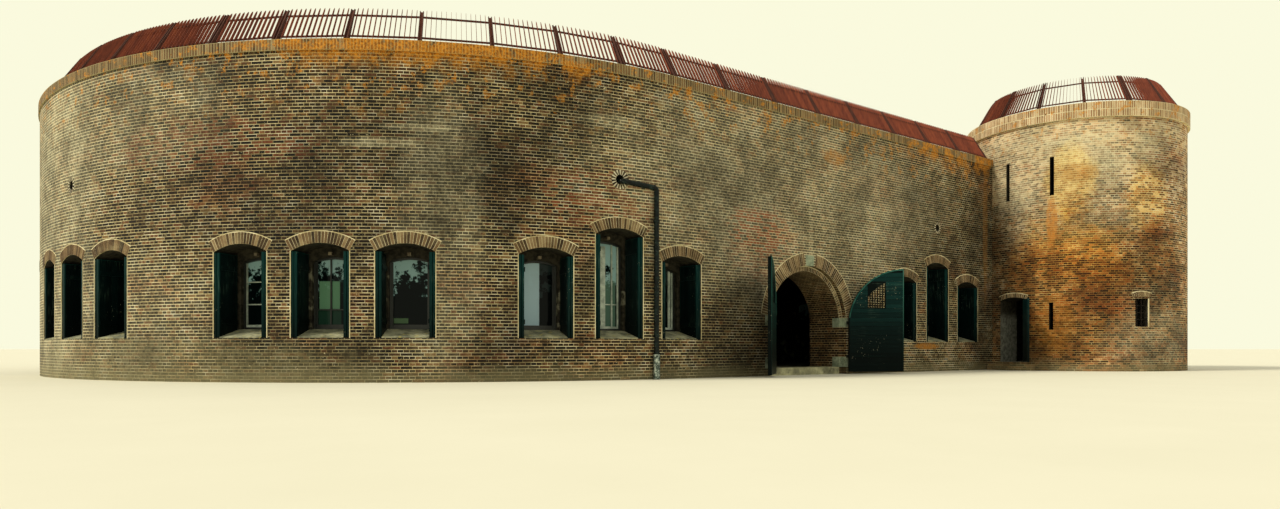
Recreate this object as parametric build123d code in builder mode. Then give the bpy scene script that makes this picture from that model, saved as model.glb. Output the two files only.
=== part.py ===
from build123d import *
import os
from math import cos, degrees, pi, radians, sin, sqrt, tan

# A coastal fort in brick: a long horseshoe wall that ends in two round towers.
# Sizes are in millimetres, +Z is up, and the ground is at z = 0.
# +X runs from the round end to the towers, and the gate is in the wall that faces -Y.

# Plan of the horseshoe wall
round_radius = 10700.0
wall_thickness = 1100.0
flank_length = 14620.0
wall_height = 6500.0

# Window rows, placed by angle on the round end and by distance from the end wall on the flank
left_group_angle = 74.9
front_group_angle = 39.9
middle_group_angle = 8.3
right_group_setback = 4770.0
end_group_place = 4000.0
window_pitch = 1600.0
window_width = 1120.0
sill_height = 850.0
window_spring = 2500.0
tall_window_spring = 2980.0
window_rise = 150.0
recess_depth = 620.0
light_width = 800.0
light_low = 1030.0
light_drop = 150.0
light_rise = 100.0
frame_setback = 705.0
frame_depth = 70.0
frame_bar = 42.0
pane_thickness = 8.0
pane_lap = 15.0
sill_setback = 20.0
sill_front_rise = 20.0
sill_slack = 6.0

# Shutters: a folded pair of boards on each side of a window recess
shutter_thickness = 115.0
shutter_depth = 540.0
shutter_setback = 30.0
shutter_groove = 14.0
shutter_groove_depth = 60.0
shutter_end_gap = 10.0

# Round vents high in the wall
vent_radius = 100.0
vent_height = 4130.0

# Coping, roof deck and floor
coping_height = 210.0
coping_projection = 30.0
roof_drop = 300.0
roof_depth = 900.0
floor_top = 150.0
seat_gap = 0.3

# Gate: an arch with a rebate, stone blocks and two leaves
gate_setback = 10360.0
gate_half_width = 1425.0
gate_spring = 1440.0
gate_rise = 1260.0
gate_rebate = 125.0
rebate_depth = 130.0
gate_stone_depth = 350.0
gate_stone_face = 180.0
impost_height = 240.0
base_stone_low = 180.0
base_stone_height = 260.0
keystone_height = 260.0
keystone_top_width = 320.0
keystone_foot_width = 250.0
keystone_depth = 220.0
threshold_height = 180.0
threshold_depth = 600.0
leaf_thickness = 80.0
leaf_recess = 10.0
leaf_gap = 14.0
leaf_meeting_gap = 6.0
leaf_bottom = 60.0
leaf_open_angle = 142.0
grille_near = 500.0
grille_width = 450.0
grille_low = 1700.0
grille_margin = 270.0
grille_bars = 6
grille_bar_width = 22.0

# Strap hinges with eyes that turn on pintles
pin_radius = 12.0
pin_slack = 0.4
eye_wall = 14.0
eye_clearance = 5.0
eye_play = 1.0
strap_height = 60.0
strap_thickness = 12.0
strap_length = 900.0
strap_low = 430.0
strap_high = 1290.0
pintle_arm = 16.0
pintle_reach = 120.0
pin_end = 8.0
neck_width = 16.0

# Round towers
tower_radius = 3100.0
tower_wall = 800.0
tower_stand_out = 1130.0
tower_height = 7700.0
tower_coping_height = 430.0
tower_coping_projection = 70.0
tower_deck_drop = 350.0
tower_floor_top = 250.0
tower_upper_floor = 4000.0
slab_depth = 250.0
tower_joint_angle = 262.0
slit_width = 115.0
slit_splay_width = 420.0
slit_face_depth = 250.0
upper_slit_low = 5130.0
upper_slit_high = 6250.0
lower_slit_low = 1200.0
lower_slit_high = 2000.0
door_slit_angle = 170.0
upper_slit_angle = 194.4
lower_slit_angle = 194.0
tower_window_angle = 239.0
tower_window_width = 400.0
tower_window_low = 1280.0
tower_window_high = 2080.0

# Door in the tower beside the wall
door_angle = 173.0
door_width = 880.0
door_height = 1950.0
door_rise = 80.0
door_head_margin = 2.0
door_leaf_thickness = 50.0
door_leaf_lift = 15.0
door_strap_length = 600.0
door_strap_low = 600.0
door_strap_high = 1650.0
door_open_angle = 133.0
step_height = 190.0
step_tread = 320.0
step_margin = 240.0

# Rain pipe beside the middle windows
pipe_radius = 55.0
pipe_bore = 49.0
pipe_stand_off = 85.0
pipe_foot_angle = 3.8
pipe_fall = 60.0
pipe_bend = 80.0
pipe_start_depth = 200.0
shoe_radius = 75.0
shoe_height = 530.0
shoe_lap = 60.0
clamp_wall = 14.0
clamp_height = 45.0
clamp_arm = 40.0
clamp_low = 1500.0
clamp_high = 3300.0

# Fence on the wall tops: leaning panels with a plate at each end, so that posts are pairs of plates
fence_inset = 150.0
fence_lean = 30.0
post_height = 800.0
tower_post_height = 950.0
post_foot_width = 150.0
post_head_width = 56.0
post_plate = 12.0
post_gap = 50.0
rail_low = 140.0
rail_high = 650.0
tower_rail_high = 740.0
rail_height = 34.0
rail_thickness = 24.0
round_fence_bays = 12
flank_fence_bays = 8
end_fence_bays = 11
tower_fence_bays = 15
fence_end_gap = 60.0

# How far a cutting shape runs past the wall that it cuts
overcut = 60.0

# Sizes that follow from the ones above
wall_body_height = wall_height - coping_height
tower_body_height = tower_height - tower_coping_height
tower_inner_radius = tower_radius - tower_wall
end_inner_face = flank_length - wall_thickness
tower_x = flank_length + tower_stand_out
tower_y = round_radius + tower_stand_out
far_reach = tower_x + tower_radius + tower_coping_projection
round_centre_x = (round_radius + coping_projection - far_reach) / 2
tower_centre = Vector(round_centre_x + tower_x, -tower_y)
tower_chord = sqrt(tower_radius**2 - tower_stand_out**2)
round_end = -round_radius * pi / 2
gate_inner_half = gate_half_width - gate_rebate
gate_crown = gate_spring + gate_rise
gate_place = flank_length - gate_setback
right_group_place = flank_length - right_group_setback
eye_radius = pin_radius + pin_slack + eye_wall
axis_proud = eye_radius + eye_clearance


def along_round(angle):
    """Place on the round end, measured along the face back from where the flank starts."""
    return -radians(angle) * round_radius


def wall_point(place, depth):
    """Point in plan behind the wall face: on the round end below zero, on the flank above."""
    radius = round_radius - depth
    if place < 0:
        angle = -place / round_radius
        return Vector(round_centre_x - radius * sin(angle), -radius * cos(angle))
    return Vector(round_centre_x + place, -radius)


def wall_face(place):
    """Upright plane on the wall face: x to the right, y up and z outwards."""
    angle = max(-place, 0) / round_radius
    return Plane(
        origin=wall_point(place, 0),
        x_dir=(cos(angle), -sin(angle), 0),
        z_dir=(-sin(angle), -cos(angle), 0),
    )


def end_face(place):
    """Upright plane on the end wall's face, at a distance from the middle."""
    return Plane(origin=(round_centre_x + flank_length, place, 0), x_dir=(0, 1, 0), z_dir=(1, 0, 0))


def tower_face(angle, back=0.0):
    """Upright plane at an angle from +X that touches the tower's face, or lies behind it."""
    turn = radians(angle)
    outward = Vector(cos(turn), sin(turn))
    return Plane(
        origin=tower_centre + outward * (tower_radius - back),
        x_dir=(-sin(turn), cos(turn), 0),
        z_dir=outward,
    )


def trace(first, last, depth):
    """Line that follows the wall face at one depth, round the bend and along the flank."""
    if first < 0:
        turn_end = min(last, 0)
        turn_middle = (first + turn_end) / 2
        ThreePointArc(*[wall_point(place, depth) for place in (first, turn_middle, turn_end)])
    if last > 0:
        Line(wall_point(max(first, 0), depth), wall_point(last, depth))


def wall_plan(first, last, near, far, level=0.0):
    """Plan of a stretch of wall between two places and two depths behind the face."""
    with BuildSketch(Plane.XY.offset(level)) as plan:
        with BuildLine():
            trace(first, last, near)
            Line(wall_point(last, near), wall_point(last, far))
            trace(first, last, far)
            Line(wall_point(first, far), wall_point(first, near))
        make_face()
    return plan.sketch


def arched(face, width, low, spring, rise):
    """Opening outline on a face: upright sides with an arc over them."""
    half = width / 2
    with BuildSketch(face) as outline:
        with BuildLine():
            Polyline((-half, spring), (-half, low), (half, low), (half, spring))
            ThreePointArc((half, spring), (0, spring + rise), (-half, spring))
        make_face()
    return outline.sketch


def block(face, sides, levels, depths, mode=Mode.ADD):
    """Box behind a face, by its two sides, its two levels and its two depths."""
    near, far = depths
    with BuildSketch(face.offset(-near)) as outline:
        with Locations((sum(sides) / 2, sum(levels) / 2)):
            Rectangle(abs(sides[1] - sides[0]), levels[1] - levels[0])
    extrude(outline.sketch, amount=near - far, mode=mode)


def upright_cylinder(centre, radius, low, high, mode=Mode.ADD):
    """Round post, disc or hole about an upright line."""
    with BuildSketch(Plane.XY.offset(low)) as plan:
        with Locations(centre):
            Circle(radius)
    extrude(plan.sketch, amount=high - low, mode=mode)


def clear_tower(radius=tower_radius, mode=Mode.SUBTRACT):
    """Take away what would stand in the tower, with the fit that two curved faces need."""
    upright_cylinder(tower_centre, radius + seat_gap, 0, tower_height, mode)


def window_row(middle, tall):
    """Three windows of a group: place and spring height, the middle one taller if asked."""
    middle_spring = tall_window_spring if tall else window_spring
    return [
        (middle - window_pitch, window_spring),
        (middle, middle_spring),
        (middle + window_pitch, window_spring),
    ]


def cut_window(face, spring):
    """Recess for the shutters, and the smaller light through the rest of the wall."""
    outside = face.offset(overcut)
    recess = arched(outside, window_width, sill_height, spring, window_rise)
    extrude(recess, amount=-(overcut + recess_depth), mode=Mode.SUBTRACT)
    light = arched(outside, light_width, light_low, spring - light_drop, light_rise)
    extrude(light, amount=-(2 * overcut + wall_thickness), mode=Mode.SUBTRACT)


def cut_vent(face):
    """Round vent through the wall."""
    with BuildSketch(face.offset(overcut)) as mouth:
        with Locations((0, vent_height)):
            Circle(vent_radius)
    extrude(mouth.sketch, amount=-(2 * overcut + wall_thickness), mode=Mode.SUBTRACT)


def bay_wall(first, last, windows, vents=()):
    """Stretch of the horseshoe wall with its windows and vents."""
    with BuildPart() as bay:
        extrude(wall_plan(first, last, 0, wall_thickness), amount=wall_body_height)
        for place, spring in windows:
            cut_window(wall_face(place), spring)
        for place in vents:
            cut_vent(wall_face(place))
    return bay


def twin(piece):
    """The same piece on the other side of the long axis."""
    with BuildPart() as copy:
        mirror(piece.part, about=Plane.XZ)
    return copy


def with_twin(piece):
    """The piece and its twin as one."""
    with BuildPart() as both:
        add(piece.part)
        mirror(piece.part, about=Plane.XZ)
    return both


def turned(piece, point, angle):
    """The piece after a turn about an upright line through a point."""
    with BuildPart() as moved:
        add(piece.part.rotate(Axis(point, (0, 0, 1)), angle))
    return moved


left_middle = along_round(left_group_angle)
front_middle = along_round(front_group_angle)
middle_middle = along_round(middle_group_angle)
left_joint = (left_middle + front_middle) / 2
front_joint = (front_middle + middle_middle) / 2
gate_bay_start = (middle_middle + gate_place) / 2
gate_bay_end = (gate_place + right_group_place) / 2
left_windows = window_row(left_middle, False)
front_windows = window_row(front_middle, False)
middle_windows = window_row(middle_middle, True)
gate_side_windows = window_row(gate_place, False)
right_windows = window_row(right_group_place, True)
end_windows = window_row(-end_group_place, False)
pieces = {}

# Horseshoe wall, bay by bay, and the same bays on the other side
pieces["left_bay_wall"] = bay_wall(round_end, left_joint, left_windows, [left_middle])
pieces["front_bay_wall"] = bay_wall(left_joint, front_joint, front_windows)
pieces["middle_bay_wall"] = bay_wall(front_joint, gate_bay_start, middle_windows, [middle_middle])

with BuildPart() as right_bay_wall:
    extrude(wall_plan(gate_bay_end, end_inner_face, 0, wall_thickness), amount=wall_body_height)
    for place, spring in right_windows:
        cut_window(wall_face(place), spring)
    cut_vent(wall_face(right_group_place))
    clear_tower()
pieces["right_bay_wall"] = right_bay_wall

for name in ("left_bay_wall", "front_bay_wall", "middle_bay_wall", "right_bay_wall"):
    pieces["rear_" + name] = twin(pieces[name])
pieces["rear_gate_side_wall"] = twin(bay_wall(gate_bay_start, gate_bay_end, gate_side_windows))

with BuildPart() as end_wall_front:
    block(end_face(0), (-tower_y, 0), (0, wall_body_height), (0, wall_thickness))
    for place, spring in end_windows:
        cut_window(end_face(place), spring)
    clear_tower()
pieces["end_wall_front"] = end_wall_front
pieces["end_wall_rear"] = twin(end_wall_front)

# Level that each wall's piers reach beside its windows
pier_levels = dict.fromkeys(pieces, window_spring)
for name in ("middle_bay_wall", "right_bay_wall"):
    pier_levels[name] = tall_window_spring
    pier_levels["rear_" + name] = tall_window_spring

# Gate: two piers up to the imposts, and the arched wall over them
gate_face = wall_face(gate_place)
outside_gate = gate_face.offset(overcut)
gate_outline = arched(outside_gate, 2 * gate_half_width, 0, gate_spring, gate_rise)
passage_outline = arched(
    outside_gate, 2 * gate_inner_half, 0, gate_spring, gate_rise - gate_rebate
)
impost_levels = (gate_spring - impost_height, gate_spring)
base_levels = (base_stone_low, base_stone_low + base_stone_height)


def cut_gate():
    """The rebate that the leaves close in, and the passage behind it."""
    extrude(gate_outline, amount=-(overcut + rebate_depth), mode=Mode.SUBTRACT)
    extrude(passage_outline, amount=-(2 * overcut + wall_thickness), mode=Mode.SUBTRACT)


def gate_corner_stone(side, levels, mode=Mode.ADD):
    """Block of stone that wraps the corner of a gate jamb."""
    sides = (side * gate_inner_half, side * (gate_half_width + gate_stone_face))
    block(gate_face, sides, levels, (0, gate_stone_depth), mode)


def keystone(mode=Mode.ADD):
    """Tapered block at the crown of the arch."""
    foot = keystone_foot_width / 2
    head = keystone_top_width / 2
    low = gate_crown - gate_rebate
    high = gate_crown + keystone_height
    with BuildSketch(gate_face) as outline:
        with BuildLine():
            Polyline((-foot, low), (foot, low), (head, high), (-head, high), close=True)
        make_face()
    extrude(outline.sketch, amount=-keystone_depth, mode=mode)


def gate_pier(side):
    """Pier beside the gate, from the ground to the top of the impost."""
    jamb = gate_place + side * gate_inner_half
    outer = gate_bay_start if side < 0 else gate_bay_end
    with BuildPart() as pier:
        extrude(
            wall_plan(min(jamb, outer), max(jamb, outer), 0, wall_thickness), amount=gate_spring
        )
        gate_corner_stone(side, impost_levels, Mode.SUBTRACT)
        gate_corner_stone(side, base_levels, Mode.SUBTRACT)
        cut_gate()
    return pier


pieces["gate_left_pier"] = gate_pier(-1)
pieces["gate_right_pier"] = gate_pier(1)

with BuildPart() as gate_head_wall:
    extrude(
        wall_plan(gate_bay_start, gate_bay_end, 0, wall_thickness, gate_spring),
        amount=wall_body_height - gate_spring,
    )
    keystone(Mode.SUBTRACT)
    cut_gate()
pieces["gate_head_wall"] = gate_head_wall

with BuildPart() as gate_stones:
    for side in (-1, 1):
        gate_corner_stone(side, impost_levels)
        gate_corner_stone(side, base_levels)
    keystone()
    cut_gate()
pieces["gate_stones"] = gate_stones

with BuildPart() as gate_threshold:
    block(
        gate_face,
        (-gate_inner_half, gate_inner_half),
        (0, threshold_height),
        (rebate_depth, rebate_depth + threshold_depth),
    )
pieces["gate_threshold"] = gate_threshold


def axis_point(face, turn_x):
    """Where the hinge line of a leaf stands, proud of the wall face at the jamb."""
    return face.from_local_coords(Vector(turn_x, 0, axis_proud))


def strap_hinge(face, turn_x, low, length):
    """Strap on a closed leaf that ends in an eye; a negative length runs to the left."""
    side = 1 if length > 0 else -1
    levels = (low, low + strap_height)
    neck_near = turn_x + side * (pin_radius + pin_slack)
    block(
        face, (neck_near, turn_x + length), levels, (leaf_recess - strap_thickness, leaf_recess)
    )
    block(face, (neck_near, neck_near + side * neck_width), levels, (-axis_proud, leaf_recess))
    upright_cylinder(axis_point(face, turn_x), eye_radius, *levels)
    upright_cylinder(axis_point(face, turn_x), pin_radius + pin_slack, *levels, Mode.SUBTRACT)


def pintle(face, turn_x, low, side, seat):
    """Pin for an eye, on an arm that reaches back to the wall at the given depth."""
    top = low - eye_play
    sides = (turn_x - side * (pin_radius + pin_slack), turn_x + side * pintle_reach)
    block(face, sides, (top - pintle_arm, top), (-axis_proud - eye_radius, seat))
    upright_cylinder(axis_point(face, turn_x), pin_radius, top, low + strap_height + pin_end)


def gate_leaf_blank(side, width, low, rise):
    """Half of the arched gate outline, as thick as a leaf."""
    leaf_front = gate_face.offset(-leaf_recess)
    with BuildPart() as blank:
        extrude(arched(leaf_front, width, low, gate_spring, rise), amount=-leaf_thickness)
        block(
            leaf_front,
            (side * leaf_meeting_gap, side * gate_half_width),
            (0, gate_crown),
            (0, leaf_thickness),
            Mode.INTERSECT,
        )
    return blank


def gate_grille(side):
    """The hole for the bars in a leaf, without the bars."""
    leaf_front = gate_face.offset(-leaf_recess)
    near = side * (gate_half_width - grille_near)
    far = side * (gate_half_width - grille_near - grille_width)
    bar_pitch = grille_width / (grille_bars + 1)
    bar_depths = ((leaf_thickness - grille_bar_width) / 2, (leaf_thickness + grille_bar_width) / 2)
    width = 2 * (gate_half_width - grille_margin)
    blank = gate_leaf_blank(side, width, leaf_bottom, gate_rise - grille_margin)
    with BuildPart() as grille:
        block(leaf_front, (near, far), (grille_low, gate_crown), (0, leaf_thickness))
        add(blank.part, mode=Mode.INTERSECT)
        for number in range(1, grille_bars + 1):
            middle = near - side * number * bar_pitch
            sides = (middle - grille_bar_width / 2, middle + grille_bar_width / 2)
            block(leaf_front, sides, (grille_low, gate_crown), bar_depths, Mode.SUBTRACT)
    return grille


def gate_leaf(side):
    """One closed leaf: boards up to the arch, with a barred opening near its head."""
    blank = gate_leaf_blank(side, 2 * (gate_half_width - leaf_gap), leaf_bottom, gate_rise - leaf_gap)
    with BuildPart() as leaf:
        add(blank.part)
        add(gate_grille(side).part, mode=Mode.SUBTRACT)
    return leaf


def gate_straps(side):
    """The two straps of one closed leaf."""
    with BuildPart() as straps:
        for low in (strap_low, strap_high):
            strap_hinge(gate_face, side * gate_half_width, low, -side * strap_length)
    return straps


for name, side in (("left", -1), ("right", 1)):
    hinge_line = axis_point(gate_face, side * gate_half_width)
    opened = side * leaf_open_angle
    pieces["gate_leaf_" + name] = turned(gate_leaf(side), hinge_line, opened)
    pieces["gate_straps_" + name] = turned(gate_straps(side), hinge_line, opened)

# Round tower beside the gate wall, in segments that part at its door
door_half = door_width / 2
door_bow = tower_radius - sqrt(tower_radius**2 - door_half**2)
door_face = tower_face(door_angle, door_bow)
door_spring = tower_floor_top + door_height - door_rise
door_reach = tower_wall + overcut


def tower_arc(start, stop, back):
    """Arc about the tower's axis between two angles."""
    middle = (start + stop) / 2
    return ThreePointArc(*[tower_face(angle, back).origin for angle in (start, middle, stop)])


def tower_sector(start, stop, low=0.0):
    """Segment of the tower's wall between two angles, up to the coping."""
    with BuildSketch(Plane.XY.offset(low)) as plan:
        with BuildLine():
            outer_arc = tower_arc(start, stop, 0)
            inner_arc = tower_arc(start, stop, tower_wall)
            Line(outer_arc @ 0, inner_arc @ 0)
            Line(outer_arc @ 1, inner_arc @ 1)
        make_face()
    extrude(plan.sketch, amount=tower_body_height - low)


def tower_cut(angle, width, levels, near=-overcut):
    """Upright slot through the tower's wall."""
    sides = (-width / 2, width / 2)
    block(tower_face(angle), sides, levels, (near, tower_wall + overcut), Mode.SUBTRACT)


def tower_slit(angle, levels):
    """Narrow slit at the face that widens inside."""
    tower_cut(angle, slit_width, levels)
    tower_cut(angle, slit_splay_width, levels, slit_face_depth)


def door_gap(mode, levels=(0, tower_height)):
    """The doorway's width through the tower wall."""
    block(door_face, (-door_half, door_half), levels, (-overcut, door_reach), mode)


upper_slit = (upper_slit_low, upper_slit_high)
lower_slit = (lower_slit_low, lower_slit_high)
back_start = tower_joint_angle + 90 - 360

with BuildPart() as tower_wall_inner:
    tower_sector(back_start + 90, door_angle)
    door_gap(Mode.SUBTRACT)
pieces["tower_wall_inner"] = tower_wall_inner

with BuildPart() as tower_wall_front:
    tower_sector(door_angle, tower_joint_angle)
    door_gap(Mode.SUBTRACT)
    tower_slit(upper_slit_angle, upper_slit)
    tower_slit(lower_slit_angle, lower_slit)
    tower_cut(tower_window_angle, tower_window_width, (tower_window_low, tower_window_high))
pieces["tower_wall_front"] = tower_wall_front

with BuildPart() as tower_wall_outer:
    tower_sector(tower_joint_angle, tower_joint_angle + 90)
pieces["tower_wall_outer"] = tower_wall_outer

with BuildPart() as tower_wall_back:
    tower_sector(back_start, back_start + 90)
pieces["tower_wall_back"] = tower_wall_back

with BuildPart() as tower_door_head:
    head_spread = degrees(door_half / tower_inner_radius) + door_head_margin
    tower_sector(door_angle - head_spread, door_angle + head_spread, door_spring)
    door_gap(Mode.INTERSECT)
    door_arch = arched(door_face.offset(overcut), door_width, 0, door_spring, door_rise)
    extrude(door_arch, amount=-(overcut + door_reach), mode=Mode.SUBTRACT)
    tower_slit(door_slit_angle, upper_slit)
pieces["tower_door_head"] = tower_door_head

with BuildPart() as tower_door_step:
    block(
        door_face,
        (-door_half - step_margin, door_half + step_margin),
        (0, step_height),
        (-step_tread, door_reach),
    )
    clear_tower()
    block(door_face, (-door_half, door_half), (0, tower_floor_top), (-step_margin, door_reach))
    upright_cylinder(tower_centre, tower_inner_radius, 0, tower_floor_top, Mode.SUBTRACT)
pieces["tower_door_step"] = tower_door_step

with BuildPart() as closed_door:
    with BuildSketch(door_face.offset(-leaf_recess)) as door_outline:
        with Locations((0, (tower_floor_top + door_leaf_lift + door_spring - leaf_gap) / 2)):
            Rectangle(
                door_width - 2 * leaf_gap,
                door_spring - leaf_gap - tower_floor_top - door_leaf_lift,
            )
    extrude(amount=-door_leaf_thickness)

with BuildPart() as closed_door_straps:
    for low in (door_strap_low, door_strap_high):
        strap_hinge(door_face, door_half, low, -door_strap_length)

door_line = axis_point(door_face, door_half)
pieces["tower_door_leaf"] = turned(closed_door, door_line, door_open_angle)
pieces["tower_door_straps"] = turned(closed_door_straps, door_line, door_open_angle)

with BuildPart() as hinge_pintles:
    for low in (door_strap_low, door_strap_high):
        pintle(door_face, door_half, low, 1, door_bow)
    clear_tower()
    for side in (-1, 1):
        for low in (strap_low, strap_high):
            pintle(gate_face, side * gate_half_width, low, side, 0)
pieces["hinge_pintles"] = hinge_pintles

# Rear tower: the same wall with its slits and window, and no door
with BuildPart() as rear_tower_side:
    tower_sector(back_start + 90, tower_joint_angle - 90)
with BuildPart() as rear_tower_slits:
    tower_sector(tower_joint_angle - 90, tower_joint_angle)
    tower_slit(upper_slit_angle, upper_slit)
    tower_slit(lower_slit_angle, lower_slit)
    tower_cut(tower_window_angle, tower_window_width, (tower_window_low, tower_window_high))
pieces["rear_tower_wall_inner"] = twin(rear_tower_side)
pieces["rear_tower_wall_front"] = twin(rear_tower_slits)
pieces["rear_tower_wall_outer"] = twin(tower_wall_outer)
pieces["rear_tower_wall_back"] = twin(tower_wall_back)

# Floors, decks and copings
tower_deck_top = tower_height - tower_deck_drop
disc_radius = tower_inner_radius - seat_gap

with BuildPart() as tower_floor_set:
    upright_cylinder(tower_centre, disc_radius, 0, tower_floor_top)
    for top in (tower_upper_floor, tower_deck_top):
        upright_cylinder(tower_centre, disc_radius, top - slab_depth, top)
pieces["tower_floors"] = with_twin(tower_floor_set)

with BuildPart() as tower_coping:
    upright_cylinder(
        tower_centre, tower_radius + tower_coping_projection, tower_body_height, tower_height
    )
    upright_cylinder(
        tower_centre, tower_inner_radius, tower_body_height, tower_height, Mode.SUBTRACT
    )
pieces["tower_copings"] = with_twin(tower_coping)


def inside_slab(low, high):
    """Slab that fills the plan inside the walls."""
    depth = wall_thickness + seat_gap
    corner = end_inner_face - seat_gap
    with BuildSketch(Plane.XY.offset(low)) as plan:
        with BuildLine():
            trace(round_end, corner, depth)
            Polyline(
                wall_point(corner, depth),
                (round_centre_x + corner, 0),
                (wall_point(round_end, depth).X, 0),
            )
        make_face()
        mirror(about=Plane.XZ)
    with BuildPart() as slab:
        extrude(plan.sketch, amount=high - low)
        clear_tower()
    with BuildPart() as cleared:
        add(slab.part)
        mirror(slab.part, about=Plane.XZ, mode=Mode.INTERSECT)
    return cleared


roof_top = wall_height - roof_drop
pieces["main_floor"] = inside_slab(0, floor_top)
pieces["main_roof_deck"] = inside_slab(roof_top - roof_depth, roof_top)

with BuildPart() as round_coping:
    plan = wall_plan(round_end, 0, -coping_projection, wall_thickness, wall_body_height)
    extrude(plan, amount=coping_height)
pieces["round_coping"] = with_twin(round_coping)

with BuildPart() as flank_coping:
    plan = wall_plan(0, end_inner_face, -coping_projection, wall_thickness, wall_body_height)
    extrude(plan, amount=coping_height)
    clear_tower()
pieces["flank_copings"] = with_twin(flank_coping)

with BuildPart() as end_coping:
    block(
        end_face(0),
        (-tower_y, 0),
        (wall_body_height, wall_height),
        (-coping_projection, wall_thickness),
    )
    clear_tower()
pieces["end_coping"] = with_twin(end_coping)


# Fence on the wall tops
def fence_point(face, base, height):
    """Point on the leaning middle plane of the fence."""
    inward = fence_inset + height * tan(radians(fence_lean))
    return face.from_local_coords(Vector(0, base + height, -inward))


def fence_plate(face, base, side, height):
    """One end plate of a panel: it tapers upwards and leans over the wall."""
    lean = height * tan(radians(fence_lean))
    foot = post_foot_width / 2
    head = post_head_width / 2
    start = face.from_local_coords(Vector(side * (post_gap + post_plate) / 2, 0, 0))
    with BuildSketch(Plane(origin=start, x_dir=-face.z_dir, z_dir=face.x_dir)) as outline:
        with BuildLine():
            Polyline(
                (fence_inset - foot, base),
                (fence_inset + foot, base),
                (fence_inset + lean + head, base + height),
                (fence_inset + lean - head, base + height),
                close=True,
            )
        make_face()
    extrude(outline.sketch, amount=post_plate / 2, both=True)


def fence_rail(start, stop):
    """Straight rail between two points."""
    run = stop - start
    with BuildSketch(Plane(origin=start, x_dir=(0, 0, 1), z_dir=run)) as section:
        Rectangle(rail_height, rail_thickness)
    extrude(section.sketch, amount=run.length)


def fence(faces, base, height, top_rail):
    """One panel for each bay: a plate at each end and two rails between them."""
    plate_run = (post_gap + post_plate) / 2
    with BuildPart() as panels:
        for face, next_face in zip(faces, faces[1:]):
            fence_plate(face, base, 1, height)
            fence_plate(next_face, base, -1, height)
            for level in (rail_low, top_rail):
                start = fence_point(face, base, level)
                stop = fence_point(next_face, base, level)
                along = (stop - start).normalized() * plate_run
                fence_rail(start + along, stop - along)
    return panels


def evenly(start, stop, bays):
    """Places at even steps, both ends included."""
    return [start + (stop - start) * number / bays for number in range(bays + 1)]


round_faces = [wall_face(place) for place in evenly(round_end, 0, round_fence_bays)]
pieces["round_fence"] = with_twin(fence(round_faces, wall_height, post_height, rail_high))

flank_stop = tower_x - tower_chord - fence_end_gap
flank_faces = [wall_face(place) for place in evenly(0, flank_stop, flank_fence_bays)]
pieces["flank_fences"] = with_twin(fence(flank_faces, wall_height, post_height, rail_high))

end_stop = tower_y - tower_chord - fence_end_gap
end_faces = [end_face(place) for place in evenly(-end_stop, end_stop, end_fence_bays)]
pieces["end_fence"] = fence(end_faces, wall_height, post_height, rail_high)

post_angles = evenly(0, 360, tower_fence_bays)
ring_faces = [tower_face(upper_slit_angle - post_angles[1] / 3 + angle) for angle in post_angles]
tower_fence = fence(ring_faces, tower_height, tower_post_height, tower_rail_high)
pieces["tower_fences"] = with_twin(tower_fence)

# Windows: frames, panes, sills and shutters
front_places = left_windows + front_windows + middle_windows + right_windows
front_faces = [(wall_face(place), spring) for place, spring in front_places]
gate_side_faces = [(wall_face(place), spring) for place, spring in gate_side_windows]
end_wall_faces = [(end_face(place), spring) for place, spring in end_windows]


def light_shape(face, margin, depth, thickness, spring, mode=Mode.ADD):
    """The light's outline, made smaller all round by a margin, at a depth in the wall."""
    outline = arched(
        face.offset(-depth),
        light_width - 2 * margin,
        light_low + margin,
        spring - light_drop,
        light_rise - margin,
    )
    extrude(outline, amount=-thickness, mode=mode)


def window_frame(face, spring):
    """Frame that closes the light."""
    light_shape(face, seat_gap, frame_setback, frame_depth, spring)
    light_shape(face, frame_bar, frame_setback, frame_depth, spring, Mode.SUBTRACT)


def window_pane(face, spring):
    """Glass against the back of the frame."""
    light_shape(face, frame_bar - pane_lap, frame_setback + frame_depth, pane_thickness, spring)


def window_sill(face, spring):
    """Sloping sill between the shutters."""
    half = window_width / 2 - shutter_thickness - sill_slack
    start = face.from_local_coords(Vector(-half, 0, 0))
    with BuildSketch(Plane(origin=start, x_dir=-face.z_dir, z_dir=face.x_dir)) as outline:
        with BuildLine():
            Polyline(
                (sill_setback, sill_height),
                (recess_depth, sill_height),
                (recess_depth, light_low),
                (sill_setback, sill_height + sill_front_rise),
                close=True,
            )
        make_face()
    extrude(outline.sketch, amount=2 * half)


def window_shutters(face, spring):
    """Two folded shutters that stand against the sides of the recess."""
    levels = (sill_height + shutter_end_gap, spring - shutter_end_gap)
    for side in (-1, 1):
        jamb = side * window_width / 2
        middle = jamb - side * shutter_thickness / 2
        groove = (middle - shutter_groove / 2, middle + shutter_groove / 2)
        depths = (shutter_setback, shutter_setback + shutter_depth)
        groove_depths = (shutter_setback, shutter_setback + shutter_groove_depth)
        block(face, (jamb, jamb - side * shutter_thickness), levels, depths)
        block(face, groove, levels, groove_depths, Mode.SUBTRACT)


def window_set(faces, make):
    """One kind of window piece for every window of a list."""
    with BuildPart() as group:
        for face, spring in faces:
            make(face, spring)
    return group


for name, make in (
    ("window_frames", window_frame),
    ("window_glass", window_pane),
    ("window_sills", window_sill),
    ("window_shutters", window_shutters),
):
    front_set = window_set(front_faces, make)
    rear_only = window_set(gate_side_faces, make)
    end_set = with_twin(window_set(end_wall_faces, make))
    with BuildPart() as rear_set:
        mirror(front_set.part, about=Plane.XZ)
        mirror(rear_only.part, about=Plane.XZ)
        add(end_set.part)
    pieces[name + "_front"] = front_set
    pieces[name + "_rear"] = rear_set

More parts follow.
